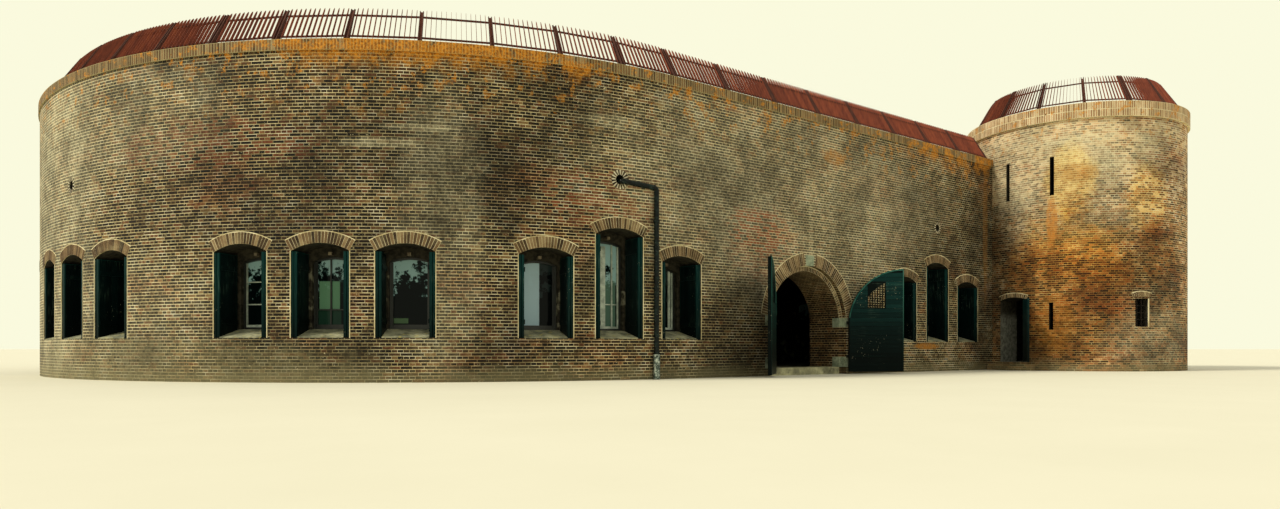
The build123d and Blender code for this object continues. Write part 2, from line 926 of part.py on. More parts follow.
# Rain pipe from the vent over the middle window, and its fittings
pipe_head = wall_face(middle_middle)
pipe_foot = wall_face(along_round(pipe_foot_angle))
pipe_level = vent_height - vent_radius + pipe_radius + seat_gap
shoe_centre = pipe_foot.from_local_coords(Vector(0, 0, pipe_stand_off))

with BuildPart() as rain_pipe:
    with BuildLine() as route:
        FilletPolyline(
            pipe_head.from_local_coords(Vector(0, pipe_level, -pipe_start_depth)),
            pipe_head.from_local_coords(Vector(0, pipe_level, pipe_stand_off)),
            pipe_foot.from_local_coords(Vector(0, pipe_level - pipe_fall, pipe_stand_off)),
            pipe_foot.from_local_coords(Vector(0, shoe_height - shoe_lap, pipe_stand_off)),
            radius=pipe_bend,
        )
    with BuildSketch(Plane(origin=route.line @ 0, z_dir=route.line % 0)):
        Circle(pipe_radius)
        Circle(pipe_bore, mode=Mode.SUBTRACT)
    sweep()
pieces["rain_pipe"] = rain_pipe

with BuildPart() as pipe_fittings:
    clamp_bore = pipe_radius + seat_gap
    for low in (clamp_low, clamp_high):
        levels = (low, low + clamp_height)
        block(pipe_foot, (-clamp_arm / 2, clamp_arm / 2), levels, (-pipe_stand_off, overcut))
        upright_cylinder(shoe_centre, clamp_bore + clamp_wall, *levels)
    upright_cylinder((round_centre_x, 0), round_radius + seat_gap, 0, wall_height, Mode.SUBTRACT)
    upright_cylinder(shoe_centre, shoe_radius, 0, shoe_height)
    upright_cylinder(shoe_centre, clamp_bore, 0, wall_height, Mode.SUBTRACT)
pieces["pipe_fittings"] = pipe_fittings



def layer(low, high):
    """Everything between two levels."""
    return Pos(0, 0, (low + high) / 2) * Box(2 * far_reach, 4 * round_radius, high - low)


def core(low, high):
    """Everything that lies deeper than the window recesses, between two levels."""
    radius = round_radius - recess_depth
    end = round_centre_x + flank_length - recess_depth
    with BuildPart() as inside:
        with BuildSketch(Plane.XY.offset(low)) as plan:
            with BuildLine():
                ThreePointArc(
                    (round_centre_x, -radius),
                    (round_centre_x - radius, 0),
                    (round_centre_x, radius),
                )
                Polyline((round_centre_x, radius), (end, radius), (end, -radius), (round_centre_x, -radius))
            make_face()
        extrude(plan.sketch, amount=high - low)
    return inside.part


def in_lifts(wall, pier_level):
    """The wall as masons raise it: foot, piers and back wall beside the windows, and the top."""
    lifts = (wall & layer(0, sill_height)).solids()
    lifts += (wall & layer(pier_level, wall_body_height)).solids()
    lifts += (wall & core(sill_height, pier_level)).solids()
    for low, high in ((sill_height, window_spring), (window_spring, pier_level)):
        if high > low:
            lifts += ((wall & layer(low, high)) - core(low, high)).solids()
    return Compound(children=lifts)


os.makedirs("parts", exist_ok=True)
for name, piece in pieces.items():
    solid = in_lifts(piece.part, pier_levels[name]) if name in pier_levels else piece.part
    solid.label = name
    export_step(solid, f"parts/{name}.step")
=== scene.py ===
"""Finish for a brick fort: brickwork, arch rings, fence fins, joinery, boards, paint and rust.

Lengths are in metres in the frame's own axes: the gate is in the wall that faces -Y, and the towers are
at the +X end.
"""

import math
import random
from functools import partial

import bmesh
import bpy
from bpy.props import FloatProperty, FloatVectorProperty, IntProperty, PointerProperty
from mathutils import Matrix, Vector


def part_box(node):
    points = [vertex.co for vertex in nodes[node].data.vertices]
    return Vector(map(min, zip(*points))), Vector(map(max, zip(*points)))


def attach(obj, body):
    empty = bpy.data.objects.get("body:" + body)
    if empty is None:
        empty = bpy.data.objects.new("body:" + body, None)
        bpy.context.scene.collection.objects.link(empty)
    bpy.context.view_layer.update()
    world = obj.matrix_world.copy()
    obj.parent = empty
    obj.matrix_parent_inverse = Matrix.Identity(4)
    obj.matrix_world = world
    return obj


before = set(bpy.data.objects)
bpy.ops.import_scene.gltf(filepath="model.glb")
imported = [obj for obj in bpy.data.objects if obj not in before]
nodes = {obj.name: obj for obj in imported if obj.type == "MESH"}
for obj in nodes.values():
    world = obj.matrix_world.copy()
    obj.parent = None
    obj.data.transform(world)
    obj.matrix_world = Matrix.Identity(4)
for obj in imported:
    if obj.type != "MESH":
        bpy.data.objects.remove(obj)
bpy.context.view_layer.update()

bl_info = {
    "name": "Brick Fort Finish",
    "version": (1, 0, 0),
    "blender": (4, 5, 0),
    "location": "3D View > Sidebar > Fort",
    "description": "Dresses a brick fort with its masonry, fence, joinery, ironwork and finishes",
    "category": "Object",
}

# Plan of the walls, as the frame has them
ROUND_RADIUS = 10.7
COPING_PROJECTION = 0.03
FLANK_LENGTH = 14.62
WALL_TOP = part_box("round_coping")[1].z
COPING_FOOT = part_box("round_coping")[0].z
CENTRE_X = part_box("round_coping")[0].x + ROUND_RADIUS + COPING_PROJECTION
END_X = CENTRE_X + FLANK_LENGTH
ROUND_END = -math.pi / 2 * ROUND_RADIUS
TOWER_RADIUS = 3.1
TOWER_X = END_X + 1.13
TOWER_Y = ROUND_RADIUS + 1.13
TOWER_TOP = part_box("tower_copings")[1].z
TOWER_COPING_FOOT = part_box("tower_copings")[0].z

# Window rows: angle of each group on the round end, or distance along the flank
GROUPS = [-math.radians(angle) * ROUND_RADIUS for angle in (74.9, 39.9, 8.3)] + [9.85]
TALL_GROUPS = (False, False, True, True)
GATE_PLACE = 4.26
END_GROUPS = (-4.0, 4.0)
WINDOW_PITCH = 1.6
WINDOW_HALF = 0.56
WINDOW_SPRING = 2.5
TALL_SPRING = 2.98
WINDOW_RISE = 0.15
SILL_LEVEL = 0.85
LIGHT_HALF = 0.4
LIGHT_LOW = 1.03
LIGHT_DROP = 0.15
LIGHT_RISE = 0.1
FRAME_DEPTH = 0.705
FRAME_BAR = 0.042
SASH_OUTS = (-FRAME_DEPTH - 0.062, -FRAME_DEPTH - 0.03)
STILE = 0.035
BOTTOM_RAIL = 0.05
CROSSING = 0.022
SHUTTER_FRONT = 0.03
SHUTTER_WIDTH = 0.115
SHUTTER_LENGTH = 0.54
SHUTTER_EDGE = 0.025
SLAT_THICKNESS = 0.006
SLAT_GAP = 0.004
LEDGE_THICKNESS = 0.02
LEDGE_HEIGHT = 0.09
LOW_LEDGE = SILL_LEVEL + 0.28
HIGH_LEDGE_DROP = 0.34
BOARD_INSET = 0.03
STOP_SIDES = (-0.035, 0.035)
STOP_OUTS = (-0.62, -0.5)

# Vents: group of windows that each is over, bricks in its ring, and the ring's radius
VENTS = ((0, 12, 0.165), (2, 16, 0.205), (3, 12, 0.165))
VENT_HEIGHT = 4.13
VENT_RADIUS = 0.1
VENT_BRICK_SHARE = (0.22, 0.78)
VENT_PROUD = 0.006
VENT_INSET = 0.006

# Depths from the wall's face of arch bricks and of the mortar about them
BED_BACK = -0.012
BED_OUTS = (BED_BACK, 0.0015)
JAMB_MORTAR = 0.016

# Gate and its leaves
GATE_HALF = 1.425
GATE_SPRING = 1.44
GATE_RISE = 1.26
GATE_CROWN = GATE_SPRING + GATE_RISE
GATE_RING = 0.3
GATE_REBATE = 0.125
REBATE_DEPTH = 0.13
REBATE_RING = GATE_REBATE - 0.022
REBATE_PROUD = 0.004
KEYSTONE_HALF = 0.17
PASSAGE_MIDDLE = GATE_SPRING - 0.176
GATE_OPEN = math.radians(142)
LEAF_FRONT = 0.01
LEAF_THICKNESS = 0.08
LEAF_BACK = -LEAF_FRONT - LEAF_THICKNESS
LEAF_FOOT = 0.06
LEAF_GAP = 0.014
LEAF_TRIM = 0.03
TRIM_OUTS = (LEAF_BACK - 0.009, LEAF_BACK)
STRIP_OUTS = (LEAF_BACK - 0.012, LEAF_BACK - 0.003)
STRIP_LEVELS = (0.45, 0.466)
STRIP_ENDS = (GATE_HALF - 0.97, GATE_HALF - 0.12)
BOARD_NEAR = 0.03
BOARD_FOOT = LEAF_FOOT + 0.012
BOARD_MARGIN = 0.02
LEAST_BOARD = 0.06
GRILLE_MARGIN = 0.01
MEETING_EDGE = (0.007, 0.028)
MEETING_DROP = 0.01
BOARD_SEAM = 0.009
BOARD_FACES = ((LEAF_BACK - 0.004, LEAF_BACK), (-LEAF_FRONT, -LEAF_FRONT + 0.003))
AXIS_PROUD = 0.0314
GRILLE_NEAR = 0.5
GRILLE_WIDTH = 0.45
GRILLE_LOW = 1.7
GRILLE_HIGH = 2.32

# Tower door and tower window, as the frame has them; the window is its angle, its foot and its top
DOOR_ANGLE = 173
DOOR_HALF = 0.44
DOOR_SPRING = 2.12
DOOR_RISE = 0.08
DOOR_RING = 0.12
TOWER_WINDOW = (239.0, 1.28, 2.08)
TOWER_WINDOW_HALF = 0.2
TOWER_ARCH_HALF = TOWER_WINDOW_HALF + 0.06
TOWER_ARCH_RISE = 0.05
TOWER_ARCH_RING = 0.13
TOWER_MORTAR = 0.035
TOWER_BED = 0.02
BAR_PLACES = (-0.07, 0.07)
BAR_WIDTH = 0.014
BAR_OUTS = (-0.13, -0.116)
BAR_PLAY = 0.002
ROD_RISES = (0.2, 0.4, 0.6)
ROD_HEIGHT = 0.012
ROD_OUTS = (-0.146, -0.134)

# Fence lines
FENCE_INSET = 0.15
FENCE_LEAN = math.tan(math.radians(30))
FENCE_HEIGHT = 0.83
TOWER_FENCE_HEIGHT = 0.95
TOWER_CHORD = math.sqrt(TOWER_RADIUS**2 - (TOWER_Y - ROUND_RADIUS) ** 2)
FLANK_FENCE_STOP = TOWER_X - CENTRE_X - TOWER_CHORD - 0.06
END_FENCE_STOP = TOWER_Y - TOWER_CHORD - 0.06
ROUND_BAYS = 12
FLANK_BAYS = 8
END_BAYS = 11
TOWER_BAYS = 15
TOWER_POST_ANGLE = 194.4 - 24 / 3
FIN_START = 0.03
LOW_RAIL = 0.14
HIGH_RAIL = 0.65
TOWER_HIGH_RAIL = 0.74
POST_HALF = 0.0245

# Rain pipe
PIPE_PLACE = -math.radians(3.8) * ROUND_RADIUS
PIPE_OUT = 0.085
PIPE_RADIUS = 0.055
COLLAR_LEVELS = (0.53, 2.1, 2.75)
COLLAR_HEIGHT = 0.06
COLLAR_WALL = 0.012
SHOE_RADIUS = 0.075
SHOE_LEVELS = (0.01, 0.525)
SHOE_WALL = 0.003

# Flat parts that stand for a full circle
CIRCLE_PARTS = 24

# Stage
FLOOR_REACH = 2500.0
PHOTO_WIDTH = 1280
PHOTO_HEIGHT = 509
FOCAL_PIXELS = 850.0
HORIZON_ROW = 349.0
EYE = (-16.215, -24.54, 0.64)
HEADING = math.atan2(0.6225, 0.7826)
SENSOR_WIDTH = 36.0
VIEW_REACH = 9000.0
LAMP_DROP = math.radians(47)
LAMP_TURN = math.radians(-18)
LAMP_SIZE = math.radians(16)

# Lumps of noise per metre: sand in the brick, drawn coarse so that it shows, and the change inside a brick
GRIT = 1 / 0.012
MOTTLE = 1 / 0.09

length = partial(FloatProperty, unit="LENGTH")


class MasonrySettings(bpy.types.PropertyGroup):
    """Sizes of the brickwork."""

    course: length(name="Course", description="Height of a brick with its joint", default=0.063)
    stretcher: length(name="Stretcher", description="Length of a brick with its joint", default=0.22)
    joint: length(name="Joint", description="Thickness of a mortar joint", default=0.011)
    voussoir: length(name="Arch brick", description="Pitch of the bricks in an arch", default=0.06)
    ring: length(name="Arch ring", description="Depth of an arch ring", default=0.215)
    proud: length(name="Proud", description="How far arch bricks stand off the wall", default=0.006)


class FenceSettings(bpy.types.PropertyGroup):
    """Sizes of the fence's fins."""

    pitch: length(name="Pitch", description="Distance from fin to fin", default=0.1)
    foot: length(name="Width", description="Width of a fin between the rails", default=0.07)
    tip: length(name="Tip width", description="Width of a fin near its tip", default=0.05)
    peg: length(name="Peg width", description="Width of a fin below the rails", default=0.014)
    plate: length(name="Plate", description="Thickness of a fin", default=0.005)


class JoinerySettings(bpy.types.PropertyGroup):
    """Sizes of boards."""

    board: length(name="Board", description="Width of a gate board", default=0.115)
    slats: IntProperty(name="Slats", description="Boards in a shutter's face", default=4, min=1)


class StageSettings(bpy.types.PropertyGroup):
    """Background and light."""

    sky: FloatVectorProperty(
        name="Background", description="Colour behind the fort", subtype="COLOR", size=3,
        default=(0.96, 0.955, 0.73),
    )
    lamp: FloatProperty(name="Lamp", description="Strength of the soft lamp", default=2.3)


def linear(code):
    """Linear colour of an sRGB hex value."""
    parts = [int(code[start:start + 2], 16) / 255 for start in (1, 3, 5)]
    return [p / 12.92 if p <= 0.04045 else ((p + 0.055) / 1.055) ** 2.4 for p in parts] + [1.0]


# What nodes of a kind have in common: settings, and inputs by name
USUAL = {
    "Mix": ({"data_type": "RGBA"}, {}),
    "MapRange": ({"interpolation_type": "SMOOTHSTEP"}, {}),
    "TexNoise": ({}, {"Detail": 4.0, "Roughness": 0.6}),
}


def add_node(tree, kind, *values, stops=(), named=(), **settings):
    """Adds one node with its settings and links; a kind in capitals is an operation of the Math node.

    Values, hex colours, nodes and sockets go to the inputs in use, in their order or by name.
    """
    if kind.isupper():
        kind, settings = "Math", {"operation": kind}
    usual_settings, usual_inputs = USUAL.get(kind, ({}, {}))
    made = tree.nodes.new("ShaderNode" + kind)
    for name, value in {**usual_settings, **settings}.items():
        setattr(made, name, value)
    for number, (place, code) in enumerate(stops):
        marks = made.color_ramp.elements
        mark = marks[number] if number < len(marks) else marks.new(place)
        mark.position = place
        mark.color = linear(code)
    inputs = [(made.inputs[name], value) for name, value in {**usual_inputs, **dict(named)}.items()]
    inputs += zip([socket for socket in made.inputs if socket.enabled], values)
    for socket, value in inputs:
        if isinstance(value, bpy.types.Node):
            value = next(output for output in value.outputs if output.enabled)
        if isinstance(value, bpy.types.NodeSocket):
            tree.links.new(value, socket)
        else:
            socket.default_value = linear(value) if isinstance(value, str) else value
    return made


def start_material(name):
    """Empty material, and the function that adds a node to it."""
    made = bpy.data.materials.new(name)
    made.use_nodes = True
    made.node_tree.nodes.clear()
    return made, partial(add_node, made.node_tree)


def close_material(put, colour, roughness, height=None, relief=0.003, **constants):
    """Principled surface with its relief; constants go on the shader's own sockets."""
    named = {name.replace("_", " "): value for name, value in constants.items()}
    named |= {"Base Color": colour, "Roughness": roughness}
    if height is not None:
        named["Normal"] = put("Bump", named={"Height": height, "Distance": relief, "Strength": 1.0})
    put("OutputMaterial", put("BsdfPrincipled", named=named))


def place_of(put):
    """Point on the piece, its three coordinates, and the face's direction."""
    where = put("TexCoord").outputs["Object"]
    facing = put("SeparateXYZ", put("NewGeometry").outputs["True Normal"])
    return where, put("SeparateXYZ", where).outputs, facing.outputs


def spotted(put, where, colour, marks):
    """Colour with spots on it; marks are (tone, size, detail, roughness, low, high, strength)."""
    for tone, size, detail, roughness, low, high, strength in marks:
        lumps = put("TexNoise", where, 1 / size, detail, roughness)
        colour = put("Mix", put("MapRange", lumps, low, high, 0.0, strength), colour, tone)
    return colour


def horseshoe_run(put, xyz):
    """Distance along the horseshoe wall's face, and depth behind it."""
    run = put("SUBTRACT", xyz[0], CENTRE_X)
    turn = put("ARCTAN2", put("MULTIPLY", run, -1.0), put("MULTIPLY", xyz[1], -1.0))
    rear = put("GREATER_THAN", xyz[1], 0.0)
    sign = put("MULTIPLY_ADD", rear, -2.0, 1.0)
    flank = put("ADD", put("MULTIPLY", run, sign), put("MULTIPLY", rear, 2 * ROUND_END))
    on_bend = put("LESS_THAN", run, 0.0)
    along = put("Mix", on_bend, flank, put("MULTIPLY", turn, -ROUND_RADIUS), data_type="FLOAT")
    reach = put("VectorMath", put("CombineXYZ", run, xyz[1]), operation="LENGTH")
    radius = put("Mix", on_bend, put("ABSOLUTE", xyz[1]), reach, data_type="FLOAT")
    return along, put("SUBTRACT", ROUND_RADIUS, radius)


def end_run(put, xyz):
    """Distance along the end wall's face, and depth behind it."""
    return xyz[1], put("SUBTRACT", END_X, xyz[0])


def tower_run(put, xyz):
    """Distance round a tower's face, and depth behind it; the seam is inside the fort."""
    across = put("SUBTRACT", xyz[0], TOWER_X)
    along = put("SUBTRACT", TOWER_Y, put("ABSOLUTE", xyz[1]))
    turn = put("ARCTAN2", put("ADD", across, along), put("SUBTRACT", across, along))
    reach = put("VectorMath", put("CombineXYZ", across, along), operation="LENGTH")
    return put("MULTIPLY", turn, TOWER_RADIUS), put("SUBTRACT", TOWER_RADIUS, reach)


def tower_place(angle):
    """Distance round the tower's face of an angle in degrees, as tower_run counts it."""
    return (math.radians(angle) - 2 * math.pi + math.pi / 4) * TOWER_RADIUS


def joints(put, cells, rows, brick_length, brick_height, fine, upright, soft):
    """Joint between bricks laid in cells and rows, and the brick's own random node.

    Grit makes the edges uneven; upright is how much thinner the upright joints are, and soft ends the joint.
    """
    half = bpy.context.scene.fort_masonry.joint / 2
    cell = put("FLOOR", cells)
    row = put("FLOOR", rows)
    side = put("PINGPONG", put("SUBTRACT", cells, cell), 0.5)
    level = put("PINGPONG", put("SUBTRACT", rows, row), 0.5)
    side = put("MULTIPLY_ADD", side, brick_length, upright)
    edge = put("MINIMUM", side, put("MULTIPLY", level, brick_height))
    edge = put("MULTIPLY_ADD", put("SUBTRACT", fine, 0.5), 0.006, edge)
    joint = put("MapRange", edge, half + 0.001, half + soft, 1.0, 0.0)
    return joint, put("TexWhiteNoise", put("CombineXYZ", cell, row)).outputs


def bond(put, along, up, fine):
    """Cross bond of stretcher and header rows: how much joint there is, and draws for each brick."""
    sizes = bpy.context.scene.fort_masonry
    rows = put("DIVIDE", up, sizes.course)
    row = put("FLOOR", rows)
    header = put("MODULO", row, 2.0)
    shifted = put("COMPARE", put("MODULO", row, 4.0), 2.0, 0.5)
    brick_length = put("MULTIPLY_ADD", header, -sizes.stretcher / 2, sizes.stretcher)
    shift = put("MULTIPLY_ADD", header, sizes.stretcher / 4, along)
    shift = put("MULTIPLY_ADD", shifted, sizes.stretcher / 2, shift)
    cells = put("DIVIDE", shift, brick_length)
    joint, draw = joints(put, cells, rows, brick_length, sizes.course, fine, 0.003, 0.004)
    return joint, put("SeparateColor", draw["Color"]).outputs


def patch(put, along, up, ragged, place, height, run, rise, edge=1.0):
    """Ragged spot on a wall, by its middle and its half sizes; a small edge makes it sharp."""
    across = put("DIVIDE", put("SUBTRACT", along, place), run)
    upward = put("DIVIDE", put("SUBTRACT", up, height), rise)
    reach = put("VectorMath", put("CombineXYZ", across, upward), operation="LENGTH")
    return put("MapRange", put("MULTIPLY_ADD", ragged, 1.6 * edge, reach), 1.2, 1.2 + 0.9 * edge, 1.0, 0.0)


# Tones of fired brick, lime mortar and what weather leaves on them, with painted shadow and painted light
# among the stains
WALL_BRICKS = (
    (0.0, "#130f0b"), (0.3, "#241c13"), (0.6, "#392c1b"), (0.8, "#523f27"), (0.9, "#693f27"),
    (1.0, "#846a43"),
)
TOWER_BRICKS = (
    (0.0, "#38230f"), (0.22, "#57391f"), (0.5, "#835a36"), (0.72, "#b58656"), (0.88, "#a8632f"),
    (1.0, "#e9c592"),
)
ARCH_BRICKS = ((0.0, "#33271a"), (0.3, "#56432c"), (0.65, "#735b3d"), (0.9, "#8b7350"), (1.0, "#9c8660"))
VENT_BRICKS = ((0.0, "#1d1610"), (0.5, "#3a2c1e"), (1.0, "#5d4a34"))
WALL_LIME = ((0.0, "#4f432c"), (0.32, "#a08e60"), (0.6, "#d8c994"), (1.0, "#fbf5d6"))
TOWER_LIME = ((0.0, "#836a3c"), (0.35, "#c3aa70"), (0.65, "#e3d39d"), (1.0, "#fbf4d2"))
WALL_COPING = ((0.0, "#5a4329"), (0.4, "#735838"), (0.75, "#8c6c46"), (1.0, "#a98c5f"))
TOWER_COPING = ((0.0, "#9c7851"), (0.4, "#ba946a"), (0.75, "#d3ad80"), (1.0, "#ecd2a4"))
CHIPS = (("#e3d9b2", 0.028, 2.0, 0.6, 0.69, 0.74, 0.75), ("#cfc398", 0.075, 3.0, 0.6, 0.7, 0.73, 0.8))
COPING_MOSS = (("#2f2a1c", 0.1, 4.0, 0.6, 0.66, 0.69, 0.85),)
ARCH_DUST = (("#cbbb8c", 0.4, 6.0, 0.6, 0.5, 0.7, 0.25),)
SOOT_AND_PAINTED_SHADOW = "#3a3324"
LICHEN = "#b0721e"
ALGAE = "#847d5a"
LIME_BLOOM_AND_PAINTED_LIGHT = "#ece2b6"
RED_WASH = "#8f4a2a"
RUST_RUN = "#c8802f"
UMBER = "#6b4a30"
GOLD = "#c98f4a"
PAINTED_SHADOW_AND_GRIME = "#2b2518"
SHADE_STAINS = (SOOT_AND_PAINTED_SHADOW, UMBER, PAINTED_SHADOW_AND_GRIME)

# Stains on the horseshoe's face, some of them painted shadow and painted light: colour, strength, place,
# height, half run, half rise
WALL_STAINS = (
    (SOOT_AND_PAINTED_SHADOW, 0.5, -5.6, 4.6, 1.6, 0.5),
    (SOOT_AND_PAINTED_SHADOW, 0.4, -4.2, 3.9, 1.2, 0.6),
    (SOOT_AND_PAINTED_SHADOW, 0.5, 1.2, 4.0, 1.0, 0.6),
    (SOOT_AND_PAINTED_SHADOW, 0.6, 9.9, 3.9, 1.6, 0.9),
    (SOOT_AND_PAINTED_SHADOW, 0.5, 12.4, 2.6, 0.6, 4.0),
    # Painted shadow of the open left gate leaf on the wall
    (SOOT_AND_PAINTED_SHADOW, 0.8, 2.1, 0.7, 1.0, 1.0),
    (SOOT_AND_PAINTED_SHADOW, 0.35, -5.0, 1.2, 1.0, 1.2),
    (RED_WASH, 0.6, -1.9, 3.65, 0.8, 0.4),
    (RED_WASH, 0.5, 2.6, 3.1, 0.7, 0.5),
    (RED_WASH, 0.5, -9.9, 4.6, 1.4, 0.3),
    (LIME_BLOOM_AND_PAINTED_LIGHT, 0.5, 4.3, 3.5, 0.05, 0.5),
    (LIME_BLOOM_AND_PAINTED_LIGHT, 0.7, -1.6, 5.3, 0.4, 0.08),
    (LIME_BLOOM_AND_PAINTED_LIGHT, 0.75, -6.4, 4.55, 0.5, 0.06),
    (LIME_BLOOM_AND_PAINTED_LIGHT, 0.7, -5.6, 4.85, 0.4, 0.04),
    # Painted light where the far left of the round end is lit: the next three pale patches
    (LIME_BLOOM_AND_PAINTED_LIGHT, 0.85, -15.8, 3.8, 1.6, 3.0),
    (LIME_BLOOM_AND_PAINTED_LIGHT, 0.45, -12.8, 5.3, 2.0, 0.7),
    (LIME_BLOOM_AND_PAINTED_LIGHT, 0.3, -13.5, 1.3, 2.4, 0.8),
    (LIME_BLOOM_AND_PAINTED_LIGHT, 0.4, -5.2, 2.9, 0.5, 1.6),
    # Painted light on the shaded flank: the next two pale patches
    (LIME_BLOOM_AND_PAINTED_LIGHT, 0.6, 3.4, 4.3, 3.2, 1.5),
    (LIME_BLOOM_AND_PAINTED_LIGHT, 0.15, 8.6, 4.9, 1.4, 1.0),
    (SOOT_AND_PAINTED_SHADOW, 0.35, -8.2, 3.9, 2.0, 0.9),
    (LICHEN, 0.3, 12.45, 4.4, 0.08, 1.4),
    (LICHEN, 0.95, 9.3, 0.72, 0.35, 0.05),
    (LICHEN, 0.6, 5.2, 5.5, 0.25, 0.12),
    (RED_WASH, 0.8, 2.5, 3.4, 0.6, 0.3),
    (ALGAE, 0.45, -11.6, 0.2, 2.9, 0.4),
)

# Stains on a tower's face, one of them a painted cast shadow: the third value is the angle in degrees
TOWER_STAINS = [(tone, strength, tower_place(angle), *rest) for tone, strength, angle, *rest in (
    (UMBER, 0.55, 202, 1.8, 1.5, 0.9),
    # Painted cast shadow of the wall on the tower, over dark grime in the corner
    (PAINTED_SHADOW_AND_GRIME, 0.9, 168, 2.9, 0.72, 1.75),
    (SOOT_AND_PAINTED_SHADOW, 0.6, 225, 4.1, 1.2, 0.3),
    (SOOT_AND_PAINTED_SHADOW, 0.6, 247, 6.2, 0.4, 0.35),
    (SOOT_AND_PAINTED_SHADOW, 0.35, 236, 2.2, 1.2, 1.2),
    (LIME_BLOOM_AND_PAINTED_LIGHT, 0.95, 225, 6.3, 0.9, 0.3),
    (LIME_BLOOM_AND_PAINTED_LIGHT, 0.95, 186, 6.3, 1.5, 0.8),
    (LIME_BLOOM_AND_PAINTED_LIGHT, 0.7, 212, 6.9, 2.4, 0.2),
    (LIME_BLOOM_AND_PAINTED_LIGHT, 0.5, 206, 5.2, 1.4, 0.9),
    (GOLD, 0.65, 200, 2.4, 1.0, 1.3),
    (GOLD, 0.45, 222, 3.3, 1.4, 0.5),
    (GOLD, 0.7, 203, 5.5, 0.4, 0.6),
    (GOLD, 0.6, 243, 4.9, 0.4, 0.6),
    (LIME_BLOOM_AND_PAINTED_LIGHT, 0.4, 248, 0.9, 0.9, 0.5),
    (RUST_RUN, 0.75, 194.4, 4.35, 0.09, 0.42),
    (LICHEN, 0.5, 207, 5.75, 0.28, 0.16),
    (LICHEN, 0.35, 196, 1.4, 0.3, 0.5),
)]


def crusted(put, where, along, level, top, sunny, joint, colour, strength):
    """Colour under orange lichen: a band below the wall top, and spots scattered under it."""
    patches = put("TexNoise", where, 1 / 0.5, 6.0, 0.72)
    thick = 0.0
    if sunny:
        beyond = put("MapRange", along, -4.2, -1.0, 1.0, 0.0)
        thick = put("MULTIPLY", put("MapRange", along, -9.4, -7.4), beyond)
        thick = put("MAXIMUM", thick, put("MapRange", along, 5.5, 7.5, 0.0, 0.55))
    cover = put("MULTIPLY_ADD", thick, 0.16, patches)
    ragged = put("MULTIPLY_ADD", put("TexNoise", where, 1 / 0.25, 5.0), 0.6, level)
    near = put("MapRange", ragged, top - 0.35, top + 0.2)
    band = put("MULTIPLY", put("MapRange", cover, 0.55, 0.66), near)
    fall = put("MapRange", put("MULTIPLY_ADD", patches, 1.6, level), top - 0.9, top + 0.7)
    spots = put("MapRange", put("TexNoise", where, 1 / 0.2, 5.0, 0.65), 0.56, 0.64, 0.0, 0.85)
    crust = put("MAXIMUM", band, put("MULTIPLY", spots, fall))
    tone = put("Mix", put("MapRange", put("TexNoise", where, 1 / 0.05), 0.35, 0.65), "#8a5212", "#dc8e20")
    tone = put("Mix", put("MULTIPLY", joint, 0.4), tone, "#e6b85a")
    return put("Mix", put("MULTIPLY", crust, strength), colour, tone)


